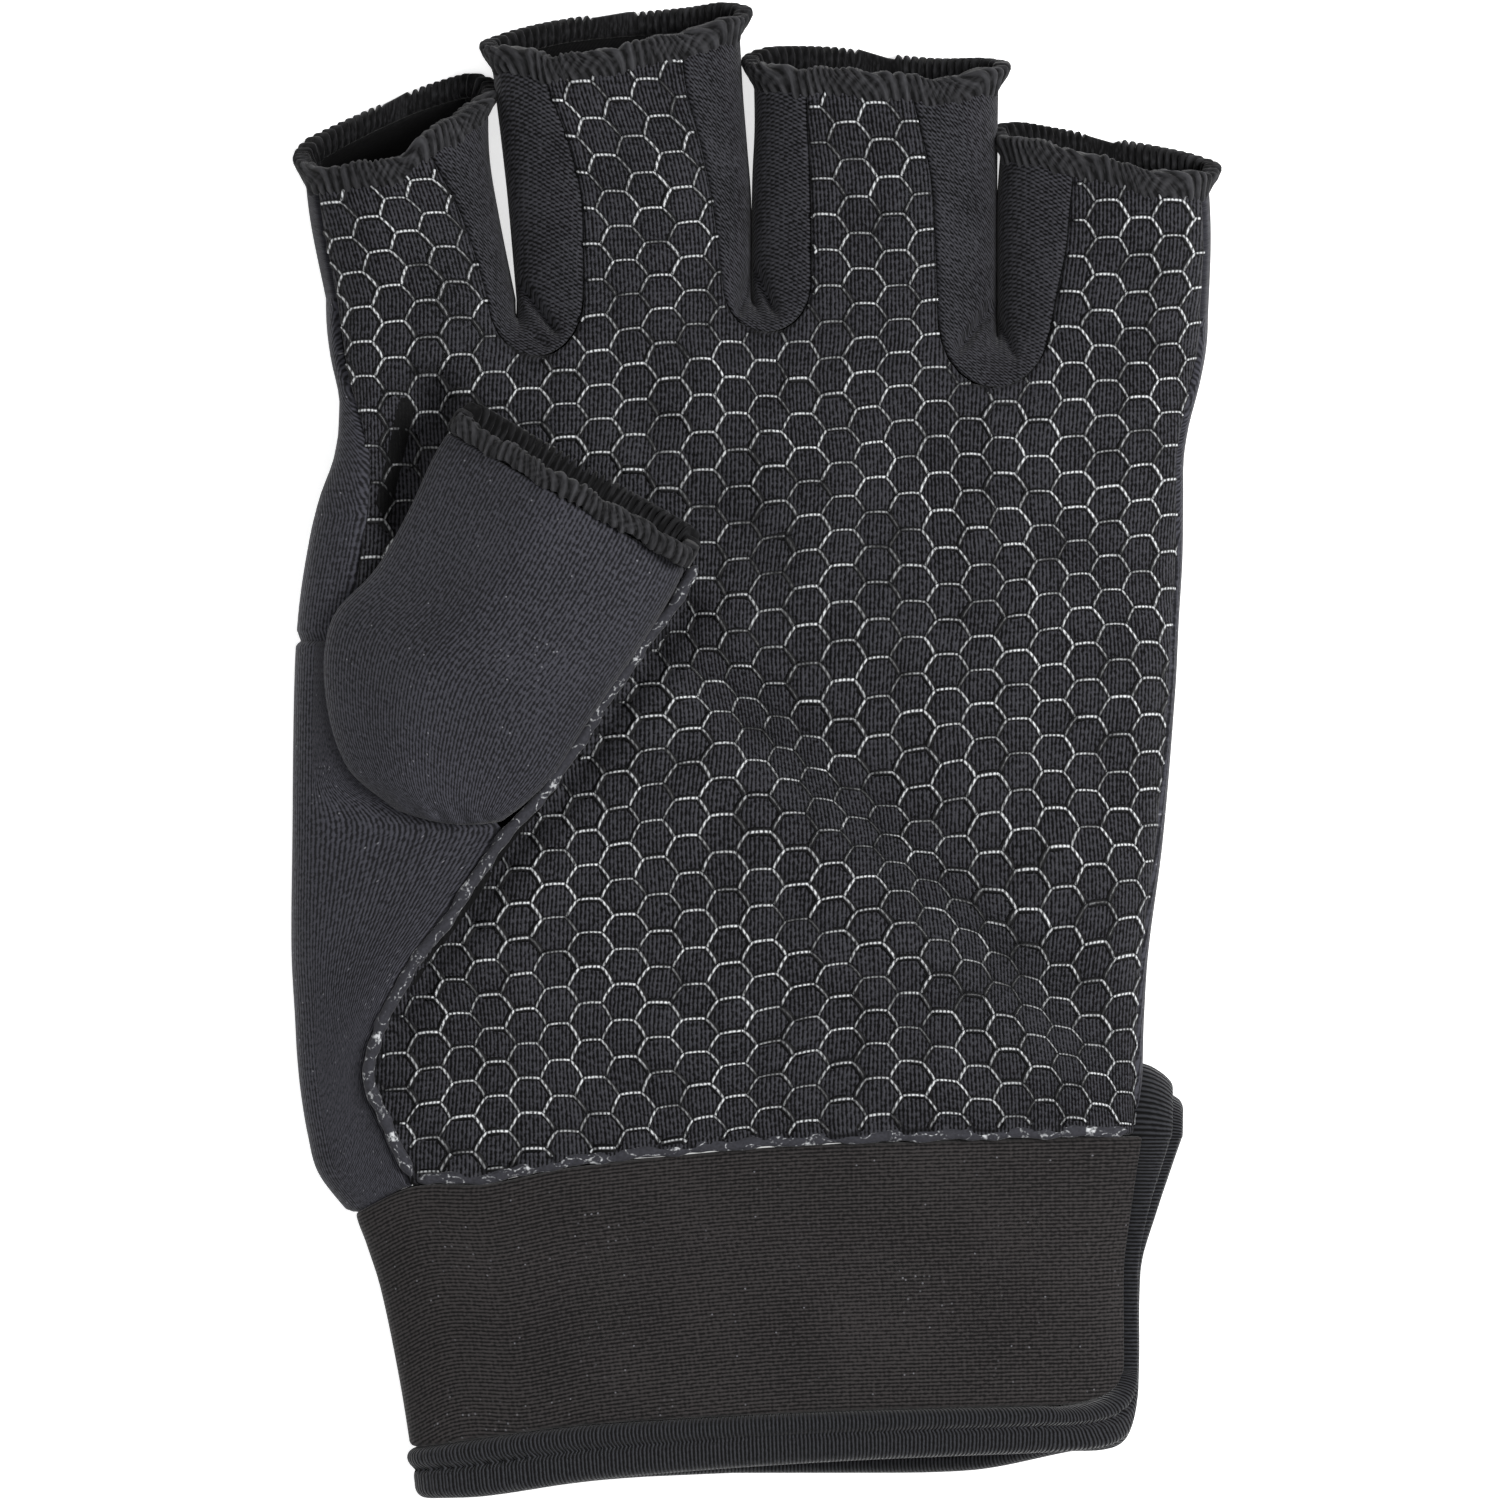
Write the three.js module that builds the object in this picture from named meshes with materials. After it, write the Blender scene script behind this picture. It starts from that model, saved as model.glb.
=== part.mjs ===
// A left-hand field hockey glove with half fingers, lying palm up with the thumb folded over the palm.
// Millimetres. +Z is up, +Y points to the fingertips, +X to the little finger, and the back lies on z = 0.
import * as THREE from "three";

// Wall thicknesses and the gap that sewn neighbours keep.
const KNIT = 1.2;
const GRIP_FABRIC = 1.2;
const SIDE_KNIT = 1.0;
const NEOPRENE = 2.2;
const BINDING = 2.6;
const SEAM = 0.35;

// Overlocked hems round the five mouths: length along the finger, wall, and how far they stand proud.
const HEM = { length: 2.2, wall: 1.7, proud: 0.3 };

// Cross-sections are flattened superellipses: a domed top, a nearly flat underside, widest at the belly.
const TOP_POWER = 2.6;
const UNDER_POWER = 8;
const UNDER_REACH = 1.03;
const BELLY = 0.45;
const UNDER_SEAM_SHARE = 0.8;

// The hand from knuckles to wrist: its edges and height at stations along Y.
const HAND = [
  { y: 52, left: -47.6, right: 51.4, height: 13.6 },
  { y: 44, left: -46.6, right: 50.3, height: 14.6 },
  { y: 39.2, left: -45.9, right: 49.6, height: 15.4 },
  { y: 33, left: -46.4, right: 48.5, height: 16.2 },
  { y: 28, left: -48.2, right: 48.4, height: 16.8 },
  { y: 21.3, left: -49.6, right: 48.3, height: 17.3 },
  { y: 14.6, left: -50.5, right: 47.9, height: 17.8 },
  { y: 6.7, left: -50.9, right: 47.5, height: 18 },
  { y: -10.1, left: -51.1, right: 46.1, height: 18 },
  { y: -22.4, left: -51.2, right: 44.5, height: 17.4 },
  { y: -30.2, left: -50.8, right: 44, height: 16.6 },
  { y: -34, left: -50.6, right: 42.8, height: 16.1 },
  { y: -38.1, left: -50.2, right: 41.6, height: 15.4 },
  { y: -43, left: -49.4, right: 41, height: 14.6 },
  { y: -47.3, left: -48.2, right: 40.8, height: 14.1 },
  { y: -52, left: -44.6, right: 40.6, height: 13.8 },
];

// Each finger tube: its two edges and the two seams of its palm strip, from the mouth down to the crotch.
const FINGERS = [
  {
    name: "index",
    stations: [
      { y: 72.8, left: -49.7, seamLeft: -48.7, seamRight: -38.4, right: -29.3 },
      { y: 66.1, left: -49.8, seamLeft: -48.7, seamRight: -35.3, right: -28.9 },
      { y: 59.4, left: -49.2, seamLeft: -48.0, seamRight: -31.9, right: -27.8 },
      { y: 50.4, left: -47.4, seamLeft: -46.3, seamRight: -29.0, right: -26.5 },
    ],
    palmMouth: [
      { x: -49.3, y: 65.0 },
      { x: -39.2, y: 66.3 },
      { x: -36.6, y: 68.4 },
      { x: -29.1, y: 73.1 },
    ],
    backMouth: [
      { x: -48.4, y: 68.7 },
      { x: -41.9, y: 71.6 },
      { x: -36.5, y: 73.7 },
      { x: -29.5, y: 75.6 },
    ],
  },
  {
    name: "middle",
    stations: [
      { y: 79.5, left: -29.2, seamLeft: -24.0, seamRight: -7.6, right: -1.1 },
      { y: 73.7, left: -28.0, seamLeft: -22.6, seamRight: -6.9, right: -1.1 },
      { y: 68.0, left: -27.2, seamLeft: -20.5, seamRight: -5.4, right: -0.9 },
      { y: 61.2, left: -26.4, seamLeft: -18.9, seamRight: -4.0, right: -0.5 },
      { y: 50.4, left: -25.7, seamLeft: -18.7, seamRight: -2.6, right: -0.2 },
    ],
    palmMouth: [
      { x: -29.8, y: 78.3 },
      { x: -24.9, y: 78.4 },
      { x: -22.0, y: 77.4 },
      { x: -8.1, y: 80.0 },
      { x: -0.6, y: 82.2 },
    ],
    backMouth: [
      { x: -29.8, y: 79.4 },
      { x: -20.5, y: 81.4 },
      { x: -6.3, y: 82.6 },
      { x: -0.6, y: 83.6 },
    ],
  },
  {
    name: "ring",
    stations: [
      { y: 76.2, left: 0.4, seamLeft: 6.0, seamRight: 17.4, right: 27.8 },
      { y: 69.7, left: 0.5, seamLeft: 6.2, seamRight: 19.0, right: 27.6 },
      { y: 64.0, left: 0.5, seamLeft: 6.5, seamRight: 20.3, right: 27.4 },
      { y: 57.2, left: 0.5, seamLeft: 6.6, seamRight: 20.8, right: 27.3 },
      { y: 48.2, left: 0.6, seamLeft: 6.6, seamRight: 21.1, right: 27.2 },
    ],
    palmMouth: [
      { x: 0.0, y: 76.4 },
      { x: 6.0, y: 76.2 },
      { x: 16.4, y: 75.5 },
      { x: 20.0, y: 74.9 },
      { x: 28.9, y: 76.4 },
    ],
    backMouth: [
      { x: 1.0, y: 78.3 },
      { x: 9.6, y: 78.1 },
      { x: 21.1, y: 76.9 },
      { x: 28.9, y: 77.1 },
    ],
  },
  {
    name: "little",
    stations: [
      { y: 68.3, left: 28.4, seamLeft: 36.3, seamRight: 49.4, right: 50.8 },
      { y: 61.2, left: 28.2, seamLeft: 35.6, seamRight: 50.6, right: 51.4 },
      { y: 56.1, left: 28.1, seamLeft: 35.1, seamRight: 50.8, right: 51.5 },
      { y: 48.2, left: 28.0, seamLeft: 33.5, seamRight: 50.4, right: 51.2 },
    ],
    palmMouth: [
      { x: 28.1, y: 68.7 },
      { x: 36.0, y: 67.0 },
      { x: 46.7, y: 64.4 },
      { x: 50.7, y: 64.6 },
    ],
    backMouth: [
      { x: 28.1, y: 70.0 },
      { x: 38.2, y: 68.4 },
      { x: 45.2, y: 67.2 },
      { x: 50.7, y: 66.1 },
    ],
  },
];
const FINGER_HEIGHT = { atMouth: 11.4, atCrotch: 13, mouthY: 78, crotchY: 48 };

// Where two fingers part: the height along Y, how deep the palm is cut below it, and the line of contact.
const CROTCHES = [
  { name: "index_middle", y: 50.4, depth: 6.5, contact: -26.1 },
  { name: "middle_ring", y: 51.9, depth: 5.3, contact: 0.2 },
  { name: "ring_little", y: 48.2, depth: 7.8, contact: 27.6 },
];
const CROTCH_FADE = 12;
const CROTCH_FOLD = { halfWidth: 0.4, depth: 1.8 };
const FINGER_SIDE_SHARE = 0.86;

// Seams of the palm panel. The thumb edge runs from the thumb hole down to the wrist.
const HOLE_TOP = 17.9;
const PALM_LEFT_SEAM = [
  { y: 50.4, x: -46.3 },
  { y: 41.4, x: -45.0 },
  { y: 36.8, x: -43.7 },
  { y: 32.1, x: -42.9 },
  { y: 26.1, x: -43.2 },
  { y: 17.9, x: -44.2 },
];
const PALM_THUMB_EDGE = [
  { y: 17.9, x: -8.0 },
  { y: 7.8, x: -15.2 },
  { y: -2.1, x: -21.6 },
  { y: -5.4, x: -24.2 },
  { y: -10.4, x: -28.6 },
  { y: -17.6, x: -33.4 },
  { y: -24.3, x: -38.4 },
  { y: -29.7, x: -41.2 },
  { y: -34.4, x: -42.9 },
  { y: -38.6, x: -42.5 },
  { y: -42.9, x: -40.5 },
  { y: -48.6, x: -38.0 },
];
const PALM_RIGHT_INSET = 0.6;

// Seam between the hand and the cuff, from the thumb side to the slit.
const WRIST_SEAM = [
  { x: -44.8, y: -51.6 },
  { x: -38.0, y: -48.6 },
  { x: -29.8, y: -48.3 },
  { x: -20.5, y: -46.5 },
  { x: -2.7, y: -44.6 },
  { x: 11.2, y: -43.8 },
  { x: 43.7, y: -43.0 },
];

// Edge of the gusset beside the thumb hole, then along the palm's thumb edge to the wrist.
const GUSSET_TOP = 12.3;
const GUSSET_INNER_EDGE = [
  { y: 12.3, x: -46.4 },
  { y: 6.7, x: -46.2 },
  { y: 2.9, x: -45.6 },
  { y: 0.0, x: -44.4 },
  { y: -2.8, x: -42.4 },
  { y: -4.6, x: -38.8 },
  { y: -6.2, x: -33.0 },
  { y: -8.2, x: -28.6 },
  { y: -10.4, x: -29.0 },
  { y: -17.6, x: -33.9 },
  { y: -24.3, x: -38.9 },
  { y: -29.7, x: -41.7 },
  { y: -34.4, x: -43.4 },
  { y: -38.6, x: -43.0 },
  { y: -42.9, x: -41.0 },
  { y: -48.6, x: -38.5 },
];

// The thumb: its left and right edge from the mouth to the rounded seam, and how far it domes.
const THUMB = [
  { at: 0, leftX: -33.6, leftY: 35.4, rightX: -7.2, rightY: 20.2, dome: 8.0 },
  { at: 0.15, leftX: -35.4, leftY: 32.4, rightX: -9.0, rightY: 16.6, dome: 8.0 },
  { at: 0.3, leftX: -38.0, leftY: 26.7, rightX: -12.0, rightY: 11.8, dome: 7.8 },
  { at: 0.45, leftX: -41.7, leftY: 20.2, rightX: -15.4, rightY: 6.9, dome: 7.0 },
  { at: 0.6, leftX: -46.6, leftY: 14.6, rightX: -18.9, rightY: 1.7, dome: 5.8 },
  { at: 0.75, leftX: -47.4, leftY: 6.7, rightX: -21.9, rightY: -2.9, dome: 4.6 },
  { at: 0.9, leftX: -44.9, leftY: -1.9, rightX: -25.0, rightY: -6.0, dome: 3.2 },
  { at: 1, leftX: -39.6, leftY: -6.6, rightX: -27.6, rightY: -8.0, dome: 1.7 },
];
const THUMB_POWER = 2.4;
const THUMB_LIFT = 0.8;
const THUMB_UNDERSIDE_END = 18.3;

// A long soft fold that runs across the palm from the thumb to the heel of the hand.
const PALM_FOLD = { fromX: -8, fromY: 10, toX: 41, toY: -36, halfWidth: 4.5, depth: 1.3 };

// The cuff: edges, height and how far its underside clears the surface for the closure tab.
const CUFF = [
  { y: -40, left: -44.4, right: 43.9, height: 13.4, base: 0.2 },
  { y: -51.6, left: -44.0, right: 43.8, height: 13.2, base: 2.1 },
  { y: -55.2, left: -42.8, right: 43.7, height: 13.2, base: 2.1 },
  { y: -59.9, left: -41.3, right: 43.6, height: 13.2, base: 2.1 },
  { y: -68.9, left: -39.4, right: 43.6, height: 13, base: 2.1 },
  { y: -77.4, left: -38.0, right: 43.2, height: 12.6, base: 2.1 },
  { y: -84, left: -37.2, right: 42.6, height: 12.2, base: 2.1 },
];
const CUFF_HEM_TOP = [
  { x: -38.0, y: -77.8 },
  { x: -22.1, y: -75.6 },
  { x: -11.3, y: -74.7 },
  { x: 13.2, y: -73.6 },
  { x: 38.0, y: -73.0 },
];
const CUFF_HEM_PALM_END = [
  { x: -37.2, y: -83.5 },
  { x: -31.0, y: -83.2 },
  { x: -16.7, y: -81.2 },
  { x: 9.0, y: -79.3 },
  { x: 37.0, y: -78.2 },
];
const CUFF_HEM_BACK_END = [
  { x: -37.2, y: -83.5 },
  { x: -31.0, y: -83.3 },
  { x: -16.7, y: -81.6 },
  { x: 0.0, y: -80.8 },
  { x: 25.0, y: -80.6 },
  { x: 37.0, y: -78.4 },
];

// The bound slit on the little-finger side: angles of the two cut edges, the corners below it, and the
// tape's loop over its upper end.
const SLIT = {
  palmAngle: THREE.MathUtils.degToRad(22),
  backAngle: THREE.MathUtils.degToRad(-26),
  clearance: THREE.MathUtils.degToRad(2.5),
  lip: THREE.MathUtils.degToRad(1.6),
  topY: -43.4,
  cornerY: -69.5,
  cornerAngle: THREE.MathUtils.degToRad(45),
  innerRise: 8.3,
  outerRise: 3.4,
  innerX: 45.8,
  outerX: 48.3,
  loopDepth: 0.9,
};

// The closure tab under the cuff's back.
const TAB = { left: 6, right: 41, low: -70.5, high: -52.5, corner: 5, thickness: 1.7 };

const lerp = THREE.MathUtils.lerp;
const smoothstep = THREE.MathUtils.smoothstep;
const clamp = THREE.MathUtils.clamp;

// Reads a table at a place between its rows, on a smooth curve through them.
function read(table, key, across, at) {
  const rows = table[0][across] < table[table.length - 1][across] ? table : [...table].reverse();
  const last = rows.length - 1;
  if (at <= rows[0][across]) return rows[0][key];
  if (at >= rows[last][across]) return rows[last][key];
  let n = 0;
  while (rows[n + 1][across] < at) n++;
  const slope = (i) => {
    const a = rows[Math.max(i - 1, 0)];
    const b = rows[Math.min(i + 1, last)];
    return (b[key] - a[key]) / (b[across] - a[across]);
  };
  const span = rows[n + 1][across] - rows[n][across];
  const t = (at - rows[n][across]) / span;
  return (
    rows[n][key] * (1 + 2 * t) * (1 - t) ** 2 +
    slope(n) * span * t * (1 - t) ** 2 +
    rows[n + 1][key] * t * t * (3 - 2 * t) +
    slope(n + 1) * span * t * t * (t - 1)
  );
}

// The angle of a place on the upper half of a cross-section, from its share of the half width.
function angleAt(share) {
  return Math.acos(Math.sign(share) * Math.abs(share) ** (TOP_POWER / 2));
}

// The same for the lower half.
function underAngle(share) {
  return -Math.acos(Math.sign(share) * Math.abs(share) ** (UNDER_POWER / 2));
}

// Unit cross-section at an angle: 0 is the right edge, a quarter turn is the crest.
function unitSection(angle) {
  const over = Math.sin(angle) >= 0;
  const power = over ? TOP_POWER : UNDER_POWER;
  const across = Math.abs(Math.cos(angle)) ** (2 / power) * Math.sign(Math.cos(angle));
  return { over, across, up: Math.abs(Math.sin(angle)) ** (2 / power) };
}

// The point of a cross-section at an angle, and at a depth inside its surface.
function ringPoint(ring, angle, depth = 0) {
  const { over, across, up } = unitSection(angle);
  const belly = BELLY * ring.height;
  const outer = over ? belly + (ring.height - belly) * up : Math.max(0, belly * (1 - UNDER_REACH * up));
  const z = (ring.base ?? 0) + outer + (over ? -depth : depth) * up;
  return { x: (ring.left + ring.right) / 2 + ((ring.right - ring.left) / 2 - depth) * across, z, angle };
}

// The angle at a share of the way round a cross-section, keeping a margin at both ends.
function angleAlong(ring, from, to, share, margin) {
  const steps = 60;
  const lengths = [0];
  for (let n = 1; n <= steps; n++) {
    const a = ringPoint(ring, lerp(from, to, (n - 1) / steps));
    const b = ringPoint(ring, lerp(from, to, n / steps));
    lengths.push(lengths[n - 1] + Math.hypot(b.x - a.x, b.z - a.z));
  }
  const target = lerp(margin, lengths[steps] - margin, share);
  let n = 0;
  while (n < steps - 1 && lengths[n + 1] < target) n++;
  const part = (target - lengths[n]) / (lengths[n + 1] - lengths[n]);
  return lerp(from, to, (n + part) / steps);
}

function shareOf(ring, x) {
  return clamp((2 * x - ring.left - ring.right) / (ring.right - ring.left), -1, 1);
}

function handRing(y) {
  return {
    left: read(HAND, "left", "y", y),
    right: read(HAND, "right", "y", y),
    height: read(HAND, "height", "y", y),
  };
}

function fingerRing(n, y) {
  const { stations } = FINGERS[n];
  const { atMouth, atCrotch, mouthY, crotchY } = FINGER_HEIGHT;
  return {
    left: read(stations, "left", "y", y),
    right: read(stations, "right", "y", y),
    height: lerp(atCrotch, atMouth, clamp((y - crotchY) / (mouthY - crotchY), 0, 1)),
  };
}

function cuffRing(y) {
  return {
    left: read(CUFF, "left", "y", y),
    right: read(CUFF, "right", "y", y),
    height: read(CUFF, "height", "y", y),
    base: read(CUFF, "base", "y", y),
  };
}

function fingerAt(x) {
  return CROTCHES.filter((crotch) => x > crotch.contact).length;
}

function crotchLine(x) {
  const rows = CROTCHES.map((crotch) => ({ x: crotch.contact, y: crotch.y }));
  return read(rows, "y", "x", x);
}

function foldDepth(x, y) {
  const { fromX, fromY, toX, toY, halfWidth, depth } = PALM_FOLD;
  const length = Math.hypot(toX - fromX, toY - fromY);
  const along = ((x - fromX) * (toX - fromX) + (y - fromY) * (toY - fromY)) / length / length;
  const off = ((x - fromX) * (toY - fromY) - (y - fromY) * (toX - fromX)) / length;
  const ends = smoothstep(along, -0.1, 0.2) * (1 - smoothstep(along, 0.8, 1.1));
  return depth * ends * Math.exp(-((off / halfWidth) ** 2));
}

// The glove's upper surface above a place: finger domes that fade into the hand below the crotches.
function upperPoint(x, y, depth = 0) {
  const n = fingerAt(x);
  const low = n === 0 ? -1 : -FINGER_SIDE_SHARE;
  const high = n === 3 ? 1 : FINGER_SIDE_SHARE;
  const finger = fingerRing(n, y);
  const hand = handRing(y);
  const fingerShare = clamp(shareOf(finger, x), low, high);
  const handShare = shareOf(hand, x);
  const fingerPoint = ringPoint(finger, angleAt(fingerShare), depth);
  const handPoint = ringPoint(hand, angleAt(handShare), depth);
  const intoHand = smoothstep(crotchLine(x) - y, 0, CROTCH_FADE);
  const z = lerp(fingerPoint.z, handPoint.z - foldDepth(x, y), intoHand);
  return new THREE.Vector3(x - depth * lerp(fingerShare, handShare, intoHand), y, z);
}

// The glove's flat underside, at a depth inside it.
function underPoint(x, y, share, depth = 0) {
  return new THREE.Vector3(x - depth * share, y, depth);
}

// Where a hem begins: the palm side of a mouth ends lower than the back.
function mouthEdge(n, x, angle) {
  const palm = read(FINGERS[n].palmMouth, "y", "x", x);
  const back = read(FINGERS[n].backMouth, "y", "x", x);
  return lerp(back, palm, smoothstep(Math.sin(angle), -1, 0.6)) - HEM.length;
}

// The mouth's edge where a finger's cross-section passes an angle.
function mouthPoint(n, angleOf) {
  let y = FINGERS[n].stations[0].y;
  for (let pass = 0; pass < 4; pass++) {
    const angle = angleOf(y);
    y = mouthEdge(n, ringPoint(fingerRing(n, y), angle).x, angle);
  }
  return y;
}

// A geometry from vertices and triangles, turned to face outwards.
function geometryOf(vertices, triangles) {
  let volume = 0;
  for (const [a, b, c] of triangles) {
    volume += vertices[a].dot(new THREE.Vector3().crossVectors(vertices[b], vertices[c]));
  }
  const faces = volume < 0 ? triangles.map(([a, b, c]) => [a, c, b]) : triangles;
  const geometry = new THREE.BufferGeometry();
  const numbers = vertices.flatMap((v) => v.toArray());
  geometry.setAttribute("position", new THREE.Float32BufferAttribute(numbers, 3));
  geometry.setIndex(faces.flat());
  geometry.computeVertexNormals();
  return geometry;
}

// A cloth wall on a grid: point(i, j, depth) is its outer face at depth 0 and its inner face at the thickness.
// present says which cells have cloth; a loop joins the last column to the first.
function clothWall({ columns, rows, point, thickness, present = () => true, loop = false }) {
  const vertices = [];
  const triangles = [];
  const index = new Map();
  const vertex = (i, j, depth) => {
    const column = loop ? i % columns : i;
    const key = `${column},${j},${depth}`;
    if (!index.has(key)) {
      index.set(key, vertices.length);
      vertices.push(point(column, j, depth));
    }
    return index.get(key);
  };
  const quad = (a, b, c, d) => triangles.push([a, b, c], [a, c, d]);
  const edge = (i, j, k, l) => {
    quad(vertex(i, j, 0), vertex(i, j, thickness), vertex(k, l, thickness), vertex(k, l, 0));
  };
  const has = (i, j) => {
    if (j < 0 || j >= rows) return false;
    if (loop) return present((i + columns) % columns, j);
    return i >= 0 && i < columns && present(i, j);
  };
  for (let i = 0; i < columns; i++) {
    for (let j = 0; j < rows; j++) {
      if (!has(i, j)) continue;
      const corners = [[i, j], [i + 1, j], [i + 1, j + 1], [i, j + 1]];
      quad(...corners.map(([k, l]) => vertex(k, l, 0)));
      quad(...corners.reverse().map(([k, l]) => vertex(k, l, thickness)));
      if (!has(i, j - 1)) edge(i, j, i + 1, j);
      if (!has(i, j + 1)) edge(i + 1, j + 1, i, j + 1);
      if (!has(i - 1, j)) edge(i, j + 1, i, j);
      if (!has(i + 1, j)) edge(i + 1, j, i + 1, j + 1);
    }
  }
  return geometryOf(vertices, triangles);
}

// A closed band: point(i, j) runs round the band with i and round its section with j.
function closedBand(around, section, point) {
  const vertices = [];
  const triangles = [];
  for (let i = 0; i < around; i++) {
    for (let j = 0; j < section; j++) {
      vertices.push(point(i, j));
      const a = i * section + j;
      const b = ((i + 1) % around) * section + j;
      const c = ((i + 1) % around) * section + ((j + 1) % section);
      const d = i * section + ((j + 1) % section);
      triangles.push([a, b, c], [a, c, d]);
    }
  }
  return geometryOf(vertices, triangles);
}

// Columns that fingers and crotches share: even groups are fingers, odd groups are crotches.
function columnPlan(fingerColumns, crotchColumns) {
  const groups = [];
  const at = [0];
  for (let group = 0; group < 7; group++) {
    const count = group % 2 ? crotchColumns : fingerColumns;
    for (let n = 1; n <= count; n++) {
      groups.push(group);
      at.push(group + n / count);
    }
  }
  return { groups, at };
}

// The group of a column line and how far across it the line lies. Seam lines belong to the fingers.
function splitColumn(u) {
  const group = Math.min(Math.floor(u), 6);
  const share = u - group;
  return group % 2 && share === 0 ? { group: group - 1, share: 1 } : { group, share };
}

// The cut edge of the palm round a crotch, from one finger's seam (turn 0) to the next one's (turn 1).
function crotchCut(n, turn, clear = SEAM) {
  const crotch = CROTCHES[n];
  const from = read(FINGERS[n].stations, "seamRight", "y", crotch.y);
  const to = read(FINGERS[n + 1].stations, "seamLeft", "y", crotch.y);
  const angle = Math.PI * turn;
  return {
    x: (from + to) / 2 - ((to - from) / 2) * Math.cos(angle),
    y: crotch.y - (crotch.depth + clear) * Math.sin(angle),
  };
}

// The row of the palm and back grids that passes round all crotches.
function crotchRow(u, cut, edges) {
  const { group, share } = splitColumn(u);
  if (group % 2) return cut((group - 1) / 2, share);
  const n = group / 2;
  const y = lerp(CROTCHES[Math.max(n - 1, 0)].y, CROTCHES[Math.min(n, 2)].y, share);
  const [left, right] = edges(n, y);
  return { x: lerp(left, right, share), y };
}

// Palm panel: four finger strips, the palm, and the thumb edge down to the wrist.
const PALM_COLUMNS = columnPlan(6, 4);
const PALM_ROWS = { fingers: 6, upper: 7, lower: 12 };
const HOLE_COLUMN = 3;

function palmEdges(n, y) {
  return [read(FINGERS[n].stations, "seamLeft", "y", y), read(FINGERS[n].stations, "seamRight", "y", y)];
}

function palmRight(y) {
  const hand = read(HAND, "right", "y", y) - PALM_RIGHT_INSET;
  return lerp(hand, read(FINGERS[3].stations, "seamRight", "y", y), smoothstep(y, 40, 48));
}

// A finger strip's place at a share across and a share down from the mouth to the crotch.
function palmStrip(n, share, down, crotchY) {
  const across = (y) => lerp(...palmEdges(n, y), share);
  const mouthY = mouthPoint(n, (y) => angleAt(shareOf(fingerRing(n, y), across(y)))) - SEAM;
  const y = lerp(mouthY, crotchY, down);
  return { x: across(y), y };
}

function palmPlan(u, j) {
  const crotch = crotchRow(u, crotchCut, palmEdges);
  const { group, share } = splitColumn(u);
  if (j <= PALM_ROWS.fingers) {
    return group % 2 ? crotch : palmStrip(group / 2, share, j / PALM_ROWS.fingers, crotch.y);
  }
  const holeY = HOLE_TOP + SEAM;
  const thumbSeam = read(PALM_THUMB_EDGE, "x", "y", HOLE_TOP);
  const leftSeam = read(PALM_LEFT_SEAM, "x", "y", HOLE_TOP);
  const holeX = u <= HOLE_COLUMN
    ? lerp(leftSeam, thumbSeam, u / HOLE_COLUMN)
    : lerp(thumbSeam, palmRight(HOLE_TOP), (u - HOLE_COLUMN) / (7 - HOLE_COLUMN));
  if (j <= PALM_ROWS.fingers + PALM_ROWS.upper) {
    const down = (j - PALM_ROWS.fingers) / PALM_ROWS.upper;
    const y = lerp(crotch.y, holeY, down);
    const leftTop = read(PALM_LEFT_SEAM, "x", "y", crotch.y);
    const leftBow = read(PALM_LEFT_SEAM, "x", "y", y) - lerp(leftTop, leftSeam, down);
    const rightBow = palmRight(y) - lerp(palmRight(crotch.y), palmRight(HOLE_TOP), down);
    return { x: lerp(crotch.x, holeX, down) + lerp(leftBow, rightBow, u / 7), y };
  }
  const down = (j - PALM_ROWS.fingers - PALM_ROWS.upper) / PALM_ROWS.lower;
  const across = Math.max((u - HOLE_COLUMN) / (7 - HOLE_COLUMN), 0);
  const wristX = lerp(PALM_THUMB_EDGE[PALM_THUMB_EDGE.length - 1].x, palmRight(-43), across);
  const y = lerp(holeY, read(WRIST_SEAM, "y", "x", wristX) + SEAM, down);
  return { x: lerp(read(PALM_THUMB_EDGE, "x", "y", y), palmRight(y), across), y };
}

function makePalm() {
  const holeStart = PALM_ROWS.fingers + PALM_ROWS.upper;
  return clothWall({
    columns: PALM_COLUMNS.groups.length,
    rows: holeStart + PALM_ROWS.lower,
    thickness: GRIP_FABRIC,
    present: (i, j) => {
      const group = PALM_COLUMNS.groups[i];
      if (j < PALM_ROWS.fingers) return group % 2 === 0;
      return j < holeStart || group >= HOLE_COLUMN;
    },
    point: (i, j, depth) => {
      const { x, y } = palmPlan(PALM_COLUMNS.at[i], j);
      return upperPoint(x, y, depth);
    },
  });
}

// Fourchettes: each is one strip down a finger's side, round the crotch and up the next finger's side.
const FOURCHETTE = { arm: 5, bottom: 8, across: 7, margin: 0.5 };
const UNDER_SEAM_ANGLE = Math.acos(UNDER_SEAM_SHARE ** (UNDER_POWER / 2));

// A finger's side at a share of the way from the palm seam to the back seam. side is 1 right, -1 left.
function fingerSide(n, side, y, share, margin, depth = 0) {
  const ring = fingerRing(n, y);
  const from = angleAt(shareOf(ring, palmEdges(n, y)[side > 0 ? 1 : 0]));
  const to = side > 0 ? -UNDER_SEAM_ANGLE : Math.PI + UNDER_SEAM_ANGLE;
  return ringPoint(ring, angleAlong(ring, from, to, share, margin), depth);
}

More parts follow.
